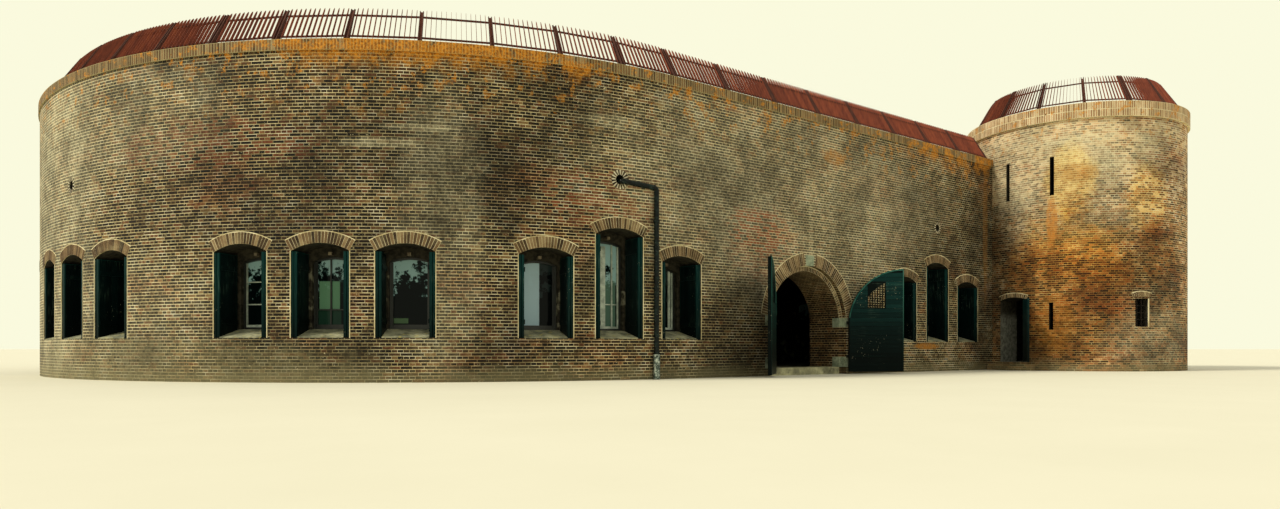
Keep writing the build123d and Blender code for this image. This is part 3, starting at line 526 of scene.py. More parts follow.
def brickwork(name, run, tones, lime_tones, stains, passage=False):
    """Hand-moulded brick in cross bond with lime mortar; the eye sees every course and stain."""
    made, put = start_material(name)
    where, xyz, facing = place_of(put)
    face_along, depth = run(put, xyz)
    level = xyz[2]
    along, up = face_along, level
    inside = put("GREATER_THAN", depth, 0.004)
    if passage:
        # Inside the gate the bricks run along the passage and climb round its arch.
        from_middle = put("SUBTRACT", xyz[0], CENTRE_X + GATE_PLACE)
        climb = put("SUBTRACT", up, PASSAGE_MIDDLE)
        swing = put("ARCTAN2", climb, put("ABSOLUTE", from_middle))
        over = put("MULTIPLY_ADD", swing, GATE_HALF, PASSAGE_MIDDLE)
        in_arch = put("MULTIPLY", inside, put("GREATER_THAN", climb, 0.0))
        up = put("Mix", in_arch, up, over, data_type="FLOAT")
        along = put("Mix", inside, along, depth, data_type="FLOAT")
    fine = put("TexNoise", where, GRIT)
    middling = put("TexNoise", where, MOTTLE)
    joint, draws = bond(put, along, up, fine)
    luck = draws[0]
    blotch = put("SUBTRACT", put("TexNoise", where, 1 / 0.7, 6.0, 0.7), 0.5)
    spread = put("MULTIPLY_ADD", put("SUBTRACT", middling, 0.5), 0.5, luck)
    spread = put("MULTIPLY_ADD", blotch, 1.2, spread)
    # Rain and sun bleach the tower towards its top.
    bleach = put("MapRange", level, 2.5, 6.4, -0.1, 0.3) if run is tower_run else 0.0
    brick = put("ValToRGB", put("ADD", spread, bleach), stops=tones)
    brick = put("Mix", put("MapRange", fine, 0.4, 0.75, 0.0, 0.35), brick, "#1d170f")
    # Some joints are washed out and dark, and some bright with new lime, in runs of a few bricks.
    filled = put("MULTIPLY_ADD", draws[1], 0.55, put("MULTIPLY_ADD", blotch, 1.5, 0.25))
    lime = put("ValToRGB", put("ADD", filled, bleach), stops=lime_tones)
    colour = put("Mix", joint, brick, lime)
    # Weather: broad light and dark, chips, then the stains that the wall has grown, among them painted shadow
    # and painted light.
    broad = put("TexNoise", where, 1 / 1.8, 6.0, 0.65)
    colour = put("Mix", put("MapRange", broad, 0.4, 0.58, 0.6, 0.0), colour, "#5f5946", blend_type="MULTIPLY")
    drawn_out = put("CombineXYZ", put("MULTIPLY", face_along, 0.5), level)
    warm = put("MapRange", put("TexNoise", drawn_out, 1 / 1.1, 5.0), 0.5, 0.68, 0.0, 0.35)
    colour = put("Mix", warm, colour, "#c87a45", blend_type="OVERLAY")
    colour = spotted(put, where, colour, CHIPS)
    ragged = put("SUBTRACT", put("TexNoise", where, 1 / 0.45, 6.0, 0.7), 0.5)
    for tone, strength, *bounds in stains:
        # A painted cast shadow gets a sharp edge.
        edge = 0.45 if tone == PAINTED_SHADOW_AND_GRIME else 1.0
        amount = put("MULTIPLY", patch(put, face_along, level, ragged, *bounds, edge), strength)
        if tone in SHADE_STAINS:
            under = put("Mix", 1.0, colour, put("Mix", 0.45, tone, "#ffffff"), blend_type="MULTIPLY")
        elif tone == GOLD:
            under = put("Mix", 1.0, colour, "#ecc578", blend_type="SOFT_LIGHT")
        else:
            under = tone
            amount = put("MULTIPLY", amount, put("MapRange", middling, 0.3, 0.65, 0.3, 1.0))
        if tone == LIME_BLOOM_AND_PAINTED_LIGHT:
            # Lime bloom, and the painted light with it, comes out of the joints first.
            amount = put("MULTIPLY", amount, put("MULTIPLY_ADD", joint, 0.65, 0.35))
            amount = put("MULTIPLY", amount, put("MapRange", blotch, -0.12, 0.12, 0.5, 1.0))
        if tone == RED_WASH:
            amount = put("MULTIPLY", amount, put("MapRange", luck, 0.2, 0.5))
            amount = put("MULTIPLY", amount, put("SUBTRACT", 1.0, joint))
        colour = put("Mix", amount, colour, under)
    top = TOWER_TOP if run is tower_run else WALL_TOP
    colour = crusted(put, where, face_along, level, top, run is horseshoe_run, joint, colour, 0.9)
    moss = put("MapRange", put("TexNoise", where, 1 / 0.1), 0.68, 0.71, 0.0, 0.9)
    moss = put("MULTIPLY", moss, put("MapRange", level, top - 1.4, top - 0.4))
    colour = put("Mix", moss, colour, "#1f1c12")
    foot = put("MapRange", put("MULTIPLY_ADD", ragged, 0.5, level), 0.05, 0.4, 0.45, 0.0)
    colour = put("Mix", foot, colour, ALGAE)
    if passage:
        reveal = put("Mix", 1.0, colour, "#c4b4a4", blend_type="MULTIPLY")
    else:
        # Inside the recesses the reveals are dark, as painted shade; pale plaster shows in patches below the
        # arches, not on faces turned down.
        reveal = put("Mix", put("MapRange", middling, 0.35, 0.65), "#3c382a", "#1c1912")
        pale = put("MapRange", put("TexNoise", where, 1 / 0.35), 0.55, 0.64, 0.0, 0.75)
        pale = put("MULTIPLY", pale, put("MapRange", level, 2.1, 2.35, 1.0, 0.0))
        if run is tower_run:
            # The door's reveal is rendered grey up to 1.5 m, and the other reveals keep their painted shade.
            from_door = put("ABSOLUTE", put("SUBTRACT", along, tower_place(DOOR_ANGLE)))
            beside = put("MapRange", from_door, 0.75, 0.9, 1.0, 0.0)
            beside = put("MULTIPLY", beside, put("MapRange", level, 1.5, 1.8, 1.0, 0.0))
            grey = put("Mix", put("MapRange", middling, 0.3, 0.7), "#8a8a7c", "#55564b")
            reveal = put("Mix", beside, reveal, grey)
            pale = 0.0
        pale = put("MULTIPLY", pale, put("MapRange", facing[2], -0.3, -0.1))
        reveal = put("Mix", pale, reveal, "#8b8870")
        joint = put("MULTIPLY", joint, put("SUBTRACT", 1.0, inside))
    colour = put("Mix", inside, colour, reveal)
    relief = put("MULTIPLY_ADD", fine, 0.35, put("SUBTRACT", 1.0, joint))
    close_material(put, colour, 0.9, relief, 0.006, Specular_IOR_Level=0.25)
    return made


def arch_brick(name, tones):
    """Bricks cut to an arch: each keeps one tone, chalky at its edges."""
    made, put = start_material(name)
    where = put("TexCoord").outputs["Object"]
    fine = put("TexNoise", where, GRIT)
    change = put("SUBTRACT", put("TexNoise", where, 1 / 0.15), 0.5)
    shade = put("Attribute", attribute_name="shade").outputs["Fac"]
    spread = put("MULTIPLY_ADD", change, 0.5, shade)
    colour = put("ValToRGB", spread, stops=tones)
    colour = put("Mix", put("MapRange", fine, 0.35, 0.75, 0.0, 0.4), colour, "#2a2117")
    colour = spotted(put, where, colour, ARCH_DUST)
    close_material(put, colour, 0.9, fine, 0.003, Specular_IOR_Level=0.25)
    return made


def soldier_coping(name, run, tones, lime_tone, foot, top, rows):
    """Bricks set upright on the wall's edge, crusted with orange lichen; rows of them, one on another."""
    made, put = start_material(name)
    where, xyz, facing = place_of(put)
    along, depth = run(put, xyz)
    course = bpy.context.scene.fort_masonry.course
    height = (top - foot) / rows
    fine = put("TexNoise", where, GRIT)
    flat = put("GREATER_THAN", facing[2], 0.7)
    levels = put("DIVIDE", put("SUBTRACT", xyz[2], foot), height)
    levels = put("Mix", flat, levels, put("DIVIDE", depth, 0.22), data_type="FLOAT")
    joint, draw = joints(put, put("DIVIDE", along, course), levels, course, height, fine, 0.0, 0.005)
    change = put("SUBTRACT", put("TexNoise", where, 1 / 0.1), 0.5)
    brick = put("ValToRGB", put("MULTIPLY_ADD", change, 0.5, draw["Value"]), stops=tones)
    brick = put("Mix", put("MapRange", fine, 0.35, 0.7, 0.0, 0.35), brick, "#2a2117")
    colour = put("Mix", joint, brick, lime_tone)
    grey = put("MapRange", put("TexNoise", where, 1 / 0.7, 5.0), 0.4, 0.6, 0.0, 0.5)
    colour = put("Mix", grey, colour, put("Mix", 1.0, colour, "#c9c2b2", blend_type="MULTIPLY"))
    colour = crusted(put, where, along, xyz[2], top, run is horseshoe_run, joint, colour, 0.85)
    colour = spotted(put, where, colour, COPING_MOSS)
    relief = put("MULTIPLY_ADD", fine, 0.35, put("SUBTRACT", 1.0, joint))
    close_material(put, colour, 0.92, relief, 0.006, Specular_IOR_Level=0.25)
    return made


def weathered(name, tones, size, roughness, relief=0.002, marks=(), **constants):
    """Mineral or metal with broad and fine change of tone; marks are (tone, size, low, high, strength)."""
    made, put = start_material(name)
    where = put("TexCoord").outputs["Object"]
    fine = put("TexNoise", where, 1 / 0.01)
    broad = put("TexNoise", where, 1 / size, 5.0)
    mixed = put("MULTIPLY_ADD", put("SUBTRACT", fine, 0.5), 0.35, broad)
    colour = put("ValToRGB", put("MapRange", mixed, 0.3, 0.7), stops=tones)
    colour = spotted(put, where, colour, [(*mark[:2], 5.0, 0.65, *mark[2:]) for mark in marks])
    close_material(put, colour, roughness, fine, relief, **constants)
    return made


def painted_wood(name, tones, upright):
    """Oil paint on softwood boards: deep green, chalked along edges, with the grain under it."""
    made, put = start_material(name)
    where, xyz, _ = place_of(put)
    stretch = (60.0, 60.0, 3.0) if upright else (3.0, 3.0, 60.0)
    streaks = put("TexNoise", put("VectorMath", where, stretch, operation="MULTIPLY"), 1.0, 5.0, 0.5)
    shade = put("Attribute", attribute_name="shade").outputs["Fac"]
    base = put("MULTIPLY_ADD", shade, 0.35, put("MULTIPLY", streaks, 0.75))
    colour = put("ValToRGB", base, stops=tones)
    chalky = put("MapRange", put("TexNoise", where, 1 / 0.5), 0.5, 0.62)
    worn = put("MULTIPLY", put("MapRange", streaks, 0.52, 0.66), chalky)
    colour = put("Mix", put("MULTIPLY", worn, 0.16), colour, "#7f9a84")
    # Painted shade: the boards grow nearly black towards the ground.
    colour = put("Mix", put("MapRange", xyz[2], 0.3, 2.6, 0.93, 0.0), colour, "#020706")
    weak = put("MapRange", put("TexNoise", where, 1 / 0.6), 0.55, 0.62)
    flaked = put("MULTIPLY", put("MapRange", put("TexNoise", where, 1 / 0.035), 0.66, 0.7), weak)
    colour = put("Mix", flaked, colour, "#b9b79a")
    close_material(put, colour, 0.42, streaks, 0.0012, IOR=1.5, Specular_IOR_Level=0.05)
    return made


def rusted_steel(name, tones):
    """Weathering steel with its fast brown rust: matt, blotched, with darker runs."""
    made, put = start_material(name)
    where = put("TexCoord").outputs["Object"]
    runs = put("VectorMath", where, (14.0, 14.0, 1.6), operation="MULTIPLY")
    runs = put("MULTIPLY_ADD", put("TexNoise", runs, 1.0, 5.0, 0.5), 0.6, 0.1)
    fine = put("TexNoise", where, 1 / 0.008)
    shade = put("Attribute", attribute_name="shade").outputs["Fac"]
    mixed = put("MULTIPLY_ADD", shade, 0.25, runs)
    mixed = put("MULTIPLY_ADD", put("SUBTRACT", fine, 0.5), 0.3, mixed)
    colour = put("ValToRGB", put("MapRange", mixed, 0.1, 0.9), stops=tones)
    close_material(put, colour, 0.85, fine, 0.0008, Metallic=0.15)
    return made


# What shows in the panes, painted on the glass as painted reflections and the painted dark of the room
# behind: colour, strength, middle along the wall, height, half width, half height
PANE_MARKS = (
    ("#b9d8e0", 0.95, -3.31, 1.82, 0.22, 1.0),
    ("#040808", 0.95, -2.92, 1.82, 0.17, 1.0),
    ("#6fa07c", 0.85, -7.57, 1.7, 0.22, 0.28),
    ("#2c5240", 0.6, -7.57, 1.25, 0.25, 0.17),
    ("#6f9466", 0.6, -6.06, 1.2, 0.15, 0.05),
    ("#6f9480", 0.6, -1.36, 1.6, 0.14, 0.5),
    ("#040809", 0.95, 0.05, 1.9, 0.4, 1.0),
)
PANE_REFLECTION_TONES = ((0.0, "#040c0c"), (0.5, "#34524f"), (1.0, "#a0c6c4"))


def window_glass(name):
    """Old drawn glass with dust, green from the iron in it: painted reflections and the painted dark of the
    room behind, as pale and dark shapes on it.
    """
    made, put = start_material(name)
    where, xyz, _ = place_of(put)
    along, _ = horseshoe_run(put, xyz)
    # A painted reflection: pale above a ragged line about 2 m up, dark below it.
    shapes = put("SUBTRACT", put("TexNoise", where, 1 / 0.22, 5.0, 0.7), 0.5)
    level = put("MapRange", put("MULTIPLY_ADD", shapes, 3.0, xyz[2]), 1.95, 2.2)
    colour = put("ValToRGB", level, stops=PANE_REFLECTION_TONES)
    front = put("LESS_THAN", xyz[1], 0.0)
    for tone, strength, place, height, half_run, half_rise in PANE_MARKS:
        across = put("ABSOLUTE", put("SUBTRACT", along, place))
        upward = put("ABSOLUTE", put("SUBTRACT", xyz[2], height))
        beside = put("MapRange", across, half_run - 0.01, half_run + 0.01, strength, 0.0)
        above = put("MapRange", upward, half_rise - 0.01, half_rise + 0.01, 1.0, 0.0)
        amount = put("MULTIPLY", beside, above)
        colour = put("Mix", put("MULTIPLY", amount, front), colour, tone)
    ripple = put("TexNoise", where, 1 / 0.35, 1.0)
    close_material(put, colour, 0.08, ripple, 0.002, IOR=1.52, Specular_IOR_Level=0.08)
    return made


class Stack:
    """Gathers the solids of one piece, with a random shade for each."""

    def __init__(self, seed=1):
        self.corners = []
        self.faces = []
        self.shades = []
        self.draw = random.Random(seed)

    def prism(self, near, far):
        """Solid between two outlines with as many corners."""
        start = len(self.corners)
        count = len(near)
        self.corners += [*near, *far]
        ends = [list(range(start, start + count)), list(range(start + count, start + 2 * count))]
        sides = [
            [start + n, start + (n + 1) % count, start + count + (n + 1) % count, start + count + n]
            for n in range(count)
        ]
        self.faces += ends + sides
        self.shades += [self.draw.random()] * (count + 2)

    def block(self, spot, sides, levels, outs):
        """Box on a spot, by its two sides, its two levels and how far out it starts and stops."""
        (left, right), (low, high) = sides, levels
        self.plate(spot, ((left, low), (right, low), (right, high), (left, high)), outs)

    def plate(self, spot, outline, outs):
        """Flat shape on a spot, from one distance out to another."""
        self.prism(*[[spot(along, up, out) for along, up in outline] for out in outs])


def make_piece(name, stack, finish, body="root", bevel=0.0):
    """Turns a stack into an object that rides on a body."""
    mesh = bpy.data.meshes.new(name)
    mesh.from_pydata([tuple(corner) for corner in stack.corners], [], stack.faces)
    shade = mesh.attributes.new("shade", "FLOAT", "FACE")
    shade.data.foreach_set("value", stack.shades)
    work = bmesh.new()
    work.from_mesh(mesh)
    bmesh.ops.recalc_face_normals(work, faces=work.faces)
    work.to_mesh(mesh)
    work.free()
    mesh.materials.append(finish)
    piece = bpy.data.objects.new(name, mesh)
    bpy.context.scene.collection.objects.link(piece)
    if bevel:
        round_off = piece.modifiers.new("Round off", "BEVEL")
        round_off.width = bevel
        round_off.segments = 1
    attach(piece, body)


def wall_spot(place, side=-1, bent=True):
    """Spot on the horseshoe's face: bent follows the curve, and otherwise it is the flat plane there."""
    angle = max(-place, 0) / ROUND_RADIUS
    outward = Vector((-math.sin(angle), side * math.cos(angle), 0))
    tangent = Vector((math.cos(angle), side * math.sin(angle), 0))
    origin = Vector((CENTRE_X + max(place, 0), 0, 0)) + outward * ROUND_RADIUS

    def flat_spot(along, up, out):
        return origin + tangent * along + outward * out + Vector((0, 0, up))

    def bent_spot(along, up, out):
        turn = angle - along / ROUND_RADIUS
        radius = ROUND_RADIUS + out
        return Vector((CENTRE_X - radius * math.sin(turn), side * radius * math.cos(turn), up))

    return bent_spot if bent and place < 0 else flat_spot


def end_spot(place):
    """Spot on the end wall's face."""
    return lambda along, up, out: Vector((END_X + out, place + along, up))


def tower_spot(angle, side=-1):
    """Spot on a tower's face, which follows its curve."""
    def spot(along, up, out):
        turn = math.radians(angle) + along / TOWER_RADIUS
        radius = TOWER_RADIUS + out
        return Vector((TOWER_X + radius * math.cos(turn), -side * (radius * math.sin(turn) - TOWER_Y), up))
    return spot


def all_windows():
    """Every window: its name, a bent spot, a flat spot and its spring level."""
    found = []
    for group, (middle, tall) in enumerate(zip(GROUPS, TALL_GROUPS)):
        for number, step in enumerate((-1, 0, 1)):
            place = middle + step * WINDOW_PITCH
            spring = TALL_SPRING if tall and step == 0 else WINDOW_SPRING
            for side, label in ((-1, "front"), (1, "rear")):
                spots = wall_spot(place, side), wall_spot(place, side, False)
                found.append((f"{label}_{group}_{number}", *spots, spring))
    for step in (-1, 0, 1):
        spot = wall_spot(GATE_PLACE + step * WINDOW_PITCH, 1)
        found.append((f"gate_side_{step + 1}", spot, spot, WINDOW_SPRING))
        for middle in END_GROUPS:
            spot = end_spot(middle + step * WINDOW_PITCH)
            found.append((f"end_{middle:.0f}_{step + 1}", spot, spot, WINDOW_SPRING))
    return found


# Sashes: places of the upright bars, heights of the crossings as shares, whether pale, left stile, bar
USUAL_SASH = ((0.0,), (1 / 3, 2 / 3), False, 0.035, 0.028)
SASHES = {
    "front_1_0": ((0.02,), (1 / 3, 2 / 3), True, 0.02, 0.028),
    "front_1_1": ((-0.07,), (0.25,), False, 0.025, 0.028),
    "front_1_2": ((), (), False, 0.02, 0.028),
    "front_2_0": ((), (), False, 0.02, 0.028),
    "front_2_1": ((0.2,), (0.28,), True, 0.4, 0.028),
    "front_2_2": ((0.1, 0.26), (), True, 0.035, 0.055),
}


def arc_of(half, spring, rise):
    """Radius and middle level of the arc over an opening."""
    radius = (half * half + rise * rise) / (2 * rise)
    return radius, spring + rise - radius


def arc_points(half, spring, rise, extra, count):
    """Points of an arc over an opening, from right to left, grown outwards by extra."""
    radius, middle = arc_of(half, spring, rise)
    reach = math.asin(min(1.0, half / radius))
    turns = [reach - 2 * reach * n / count for n in range(count + 1)]
    return [((radius + extra) * math.sin(turn), middle + (radius + extra) * math.cos(turn)) for turn in turns]


def sector(inner, outer, first, last, middle, side=1):
    """Outline of a piece of a ring: its radii, its turns from the upright and the level of its middle."""
    return [
        (side * radius * math.sin(turn), middle + radius * math.cos(turn))
        for radius, turn in ((inner, first), (inner, last), (outer, last), (outer, first))
    ]


def around(parts, shares=(0, 1)):
    """Turns of the pieces of a circle, each with its start and end as shares of its part."""
    return [[2 * math.pi * (number + share) / parts for share in shares] for number in range(parts)]


def lay_arch(stack, bed, spot, half, spring, rise, ring, proud, skip=0.0):
    """Ring of bricks on edge over an opening, and the mortar between them; none within skip of its middle."""
    sizes = bpy.context.scene.fort_masonry
    radius, middle = arc_of(half, spring, rise)
    reach = math.asin(min(1.0, half / radius))
    count = max(3, round(2 * reach * (radius + ring / 2) / sizes.voussoir))
    step = 2 * reach / count
    gap = sizes.joint / (radius + ring / 2) / 2
    for number in range(count):
        first = -reach + number * step + gap
        last = first + step - 2 * gap
        if abs((first + last) / 2) * radius < skip:
            continue
        outline = sector(radius, radius + ring + stack.draw.uniform(-0.004, 0.004), first, last, middle)
        stack.plate(spot, outline, (BED_BACK, proud + stack.draw.uniform(-0.0015, 0.0015)))
    parts = 12 if half < 1 else 40
    inner = arc_points(half, spring, rise, 0.0, parts)
    outer = arc_points(half, spring, rise, ring + 0.02, parts)
    for n in range(parts):
        if abs(inner[n][0] + inner[n + 1][0]) / 2 >= skip:
            bed.plate(spot, (inner[n], inner[n + 1], outer[n + 1], outer[n]), BED_OUTS)


def set_finish(names, finish):
    """Gives CAD nodes a finish."""
    for name in names:
        for slot in nodes[name].material_slots:
            slot.material = finish


HORSESHOE_WALLS = [
    prefix + name + "_bay_wall" for prefix in ("", "rear_") for name in ("left", "front", "middle", "right")
] + ["rear_gate_side_wall"]
TOWER_WALLS = [
    prefix + "tower_wall_" + name for prefix in ("", "rear_") for name in ("inner", "front", "outer", "back")
]


class FORT_OT_walls(bpy.types.Operator):
    """Brick, mortar, plaster and weather on every wall"""

    bl_idname = "fort.walls"
    bl_label = "Brick walls"

    def execute(self, context):
        wall = brickwork("hand_moulded_brick", horseshoe_run, WALL_BRICKS, WALL_LIME, WALL_STAINS)
        set_finish(HORSESHOE_WALLS, wall)
        gate = brickwork("gate_brick", horseshoe_run, WALL_BRICKS, WALL_LIME, WALL_STAINS, passage=True)
        set_finish(["gate_left_pier", "gate_right_pier", "gate_head_wall"], gate)
        ends = brickwork("end_wall_brick", end_run, WALL_BRICKS, WALL_LIME, ())
        set_finish(["end_wall_front", "end_wall_rear"], ends)
        tower = brickwork("tower_brick", tower_run, TOWER_BRICKS, TOWER_LIME, TOWER_STAINS)
        set_finish(TOWER_WALLS + ["tower_door_head", "tower_door_step"], tower)
        return {"FINISHED"}


class FORT_OT_copings(bpy.types.Operator):
    """Upright bricks and lichen on the wall tops"""

    bl_idname = "fort.copings"
    bl_label = "Copings"

    def execute(self, context):
        wall_look = (WALL_COPING, "#a99c70", COPING_FOOT, WALL_TOP, 1)
        tower_look = (TOWER_COPING, "#f2e4b6", TOWER_COPING_FOOT, TOWER_TOP, 2)
        wall = soldier_coping("wall_coping_brick", horseshoe_run, *wall_look)
        set_finish(["round_coping", "flank_copings"], wall)
        set_finish(["end_coping"], soldier_coping("end_coping_brick", end_run, *wall_look))
        set_finish(["tower_copings"], soldier_coping("tower_coping_brick", tower_run, *tower_look))
        return {"FINISHED"}


class FORT_OT_arches(bpy.types.Operator):
    """Brick rings over the windows, the gate and the tower door"""

    bl_idname = "fort.arches"
    bl_label = "Arch rings"

    def execute(self, context):
        sizes = context.scene.fort_masonry
        ring_brick = arch_brick("arch_brick", ARCH_BRICKS)
        # Lime and coarse sand, struck with a trowel: pale, warm and chalky
        mortar = weathered(
            "lime_mortar", ((0.0, "#b9a979"), (1.0, "#f0e5ba")), 0.3, 0.95, Specular_IOR_Level=0.2
        )
        rings, bed, bars = Stack(3), Stack(), Stack()
        for _, spot, _, spring in all_windows():
            lay_arch(rings, bed, spot, WINDOW_HALF, spring, WINDOW_RISE, sizes.ring, sizes.proud)
        gate = wall_spot(GATE_PLACE)
        lay_arch(
            rings, bed, gate, GATE_HALF, GATE_SPRING, GATE_RISE, GATE_RING, sizes.proud, skip=KEYSTONE_HALF
        )

        def rebate(along, up, out):
            return gate(along, up, out - REBATE_DEPTH)

        lay_arch(
            rings, bed, rebate, GATE_HALF - GATE_REBATE, GATE_SPRING, GATE_RISE - GATE_REBATE,
            REBATE_RING, REBATE_PROUD,
        )
        for _, spot, _, spring in all_windows():
            for side in (-1, 1):
                edges = (side * WINDOW_HALF, side * (WINDOW_HALF + JAMB_MORTAR))
                bed.block(spot, edges, (SILL_LEVEL, spring), BED_OUTS)
        door = tower_spot(DOOR_ANGLE)
        lay_arch(rings, bed, door, DOOR_HALF, DOOR_SPRING, DOOR_RISE, DOOR_RING, sizes.proud)
        angle, low, high = TOWER_WINDOW
        half = TOWER_WINDOW_HALF
        for side in (-1, 1):
            window = tower_spot(angle, side)
            lay_arch(
                rings, bed, window, TOWER_ARCH_HALF, high + TOWER_BED, TOWER_ARCH_RISE, TOWER_ARCH_RING,
                sizes.proud,
            )
            bed.block(window, (half, half + TOWER_MORTAR), (low, high), BED_OUTS)
            sill_sides = (-half - TOWER_BED, half + TOWER_MORTAR)
            bed.block(window, sill_sides, (low - TOWER_BED, low), (BED_BACK, 0.002))
            for place in BAR_PLACES:
                edges = (place - BAR_WIDTH / 2, place + BAR_WIDTH / 2)
                bars.block(window, edges, (low + BAR_PLAY, high - BAR_PLAY), BAR_OUTS)
            for rise in ROD_RISES:
                levels = (low + rise, low + rise + ROD_HEIGHT)
                bars.block(window, (BAR_PLAY - half, half - BAR_PLAY), levels, ROD_OUTS)
        make_piece("arch_rings", rings, ring_brick)
        make_piece("arch_mortar", bed, mortar)
        # Forged bar with old paint and rust: nearly black, half matt
        bar_iron = weathered(
            "window_bar_iron", ((0.0, "#15120f"), (1.0, "#40352a")), 0.1, 0.7, 0.0008, Metallic=0.4
        )
        make_piece("tower_window_bars", bars, bar_iron)
        return {"FINISHED"}


class FORT_OT_fence(bpy.types.Operator):
    """Thin leaning fins between the posts of the fence"""

    bl_idname = "fort.fence"
    bl_label = "Fence fins"

    def execute(self, context):
        sizes = context.scene.fort_fence
        # The fins are red-brown all over, and the posts darker as painted shade
        steel = rusted_steel("weathering_steel", (
            (0.0, "#5c2c1d"), (0.4, "#7a3a25"), (0.7, "#8c452b"), (1.0, "#a15631"),
        ))
        post_steel = rusted_steel("post_steel", (
            (0.0, "#3e2018"), (0.4, "#552e20"), (0.7, "#683826"), (1.0, "#7c4530"),
        ))
        set_finish(["round_fence", "flank_fences", "end_fence", "tower_fences"], post_steel)
        webs = Stack(51)

        def leaning(stack, spot, base, half, corners):
            """Plate across the fence line, by its half thickness and its corners about the leaning line."""
            outline = [(offset - FENCE_INSET - level * FENCE_LEAN, level) for offset, level in corners]
            faces = [[spot(place, base + level, out) for out, level in outline] for place in (-half, half)]
            stack.prism(*faces)

        def fin(stack, spot, base, high, rail):
            """A narrow foot, full width between the rails, and a thin tip."""
            widths = (
                (FIN_START, sizes.peg), (LOW_RAIL - 0.03, sizes.peg), (LOW_RAIL - 0.01, sizes.foot),
                (rail, sizes.foot * 0.95), (high - 0.05, sizes.tip), (high, sizes.tip * 0.3),
            )
            corners = [(width / 2, level) for level, width in widths]
            corners += [(-width / 2, level) for level, width in reversed(widths)]
            leaning(stack, spot, base, sizes.plate / 2, corners)

        def row(stack, spot_at, start, stop, bays, base, high, rail):
            """Fins between the posts, and the webs that close the gap between each post's two plates."""
            bay = (stop - start) / bays
            count = round(bay / sizes.pitch)
            web = ((0.004, 0.01), (-0.004, 0.01), (-0.004, high - 0.05), (0.004, high - 0.05))
            for number in range(bays + 1):
                leaning(webs, spot_at(start + bay * number), base, POST_HALF, web)
            for number in range(bays):
                for step in range(1, count):
                    fin(stack, spot_at(start + bay * (number + step / count)), base, high, rail)

        wall_row = (WALL_TOP, FENCE_HEIGHT, HIGH_RAIL)
        tower_row = (TOWER_TOP, TOWER_FENCE_HEIGHT, TOWER_HIGH_RAIL)
        for side, label in ((-1, "front"), (1, "rear")):
            fins = {name: Stack() for name in ("round", "flank", "tower")}

            def wall_at(place):
                return wall_spot(place, side)

            def tower_at(run):
                return tower_spot(TOWER_POST_ANGLE + math.degrees(run / TOWER_RADIUS), side)

            row(fins["round"], wall_at, ROUND_END, 0.0, ROUND_BAYS, *wall_row)
            row(fins["flank"], wall_at, 0.0, FLANK_FENCE_STOP, FLANK_BAYS, *wall_row)
            row(fins["tower"], tower_at, 0.0, 2 * math.pi * TOWER_RADIUS, TOWER_BAYS, *tower_row)
            for name, stack in fins.items():
                make_piece(f"{label}_{name}_fins", stack, steel)
        end_fins = Stack()
        row(end_fins, end_spot, -END_FENCE_STOP, END_FENCE_STOP, END_BAYS, *wall_row)
        make_piece("end_fins", end_fins, steel)
        make_piece("post_webs", webs, post_steel)
        return {"FINISHED"}


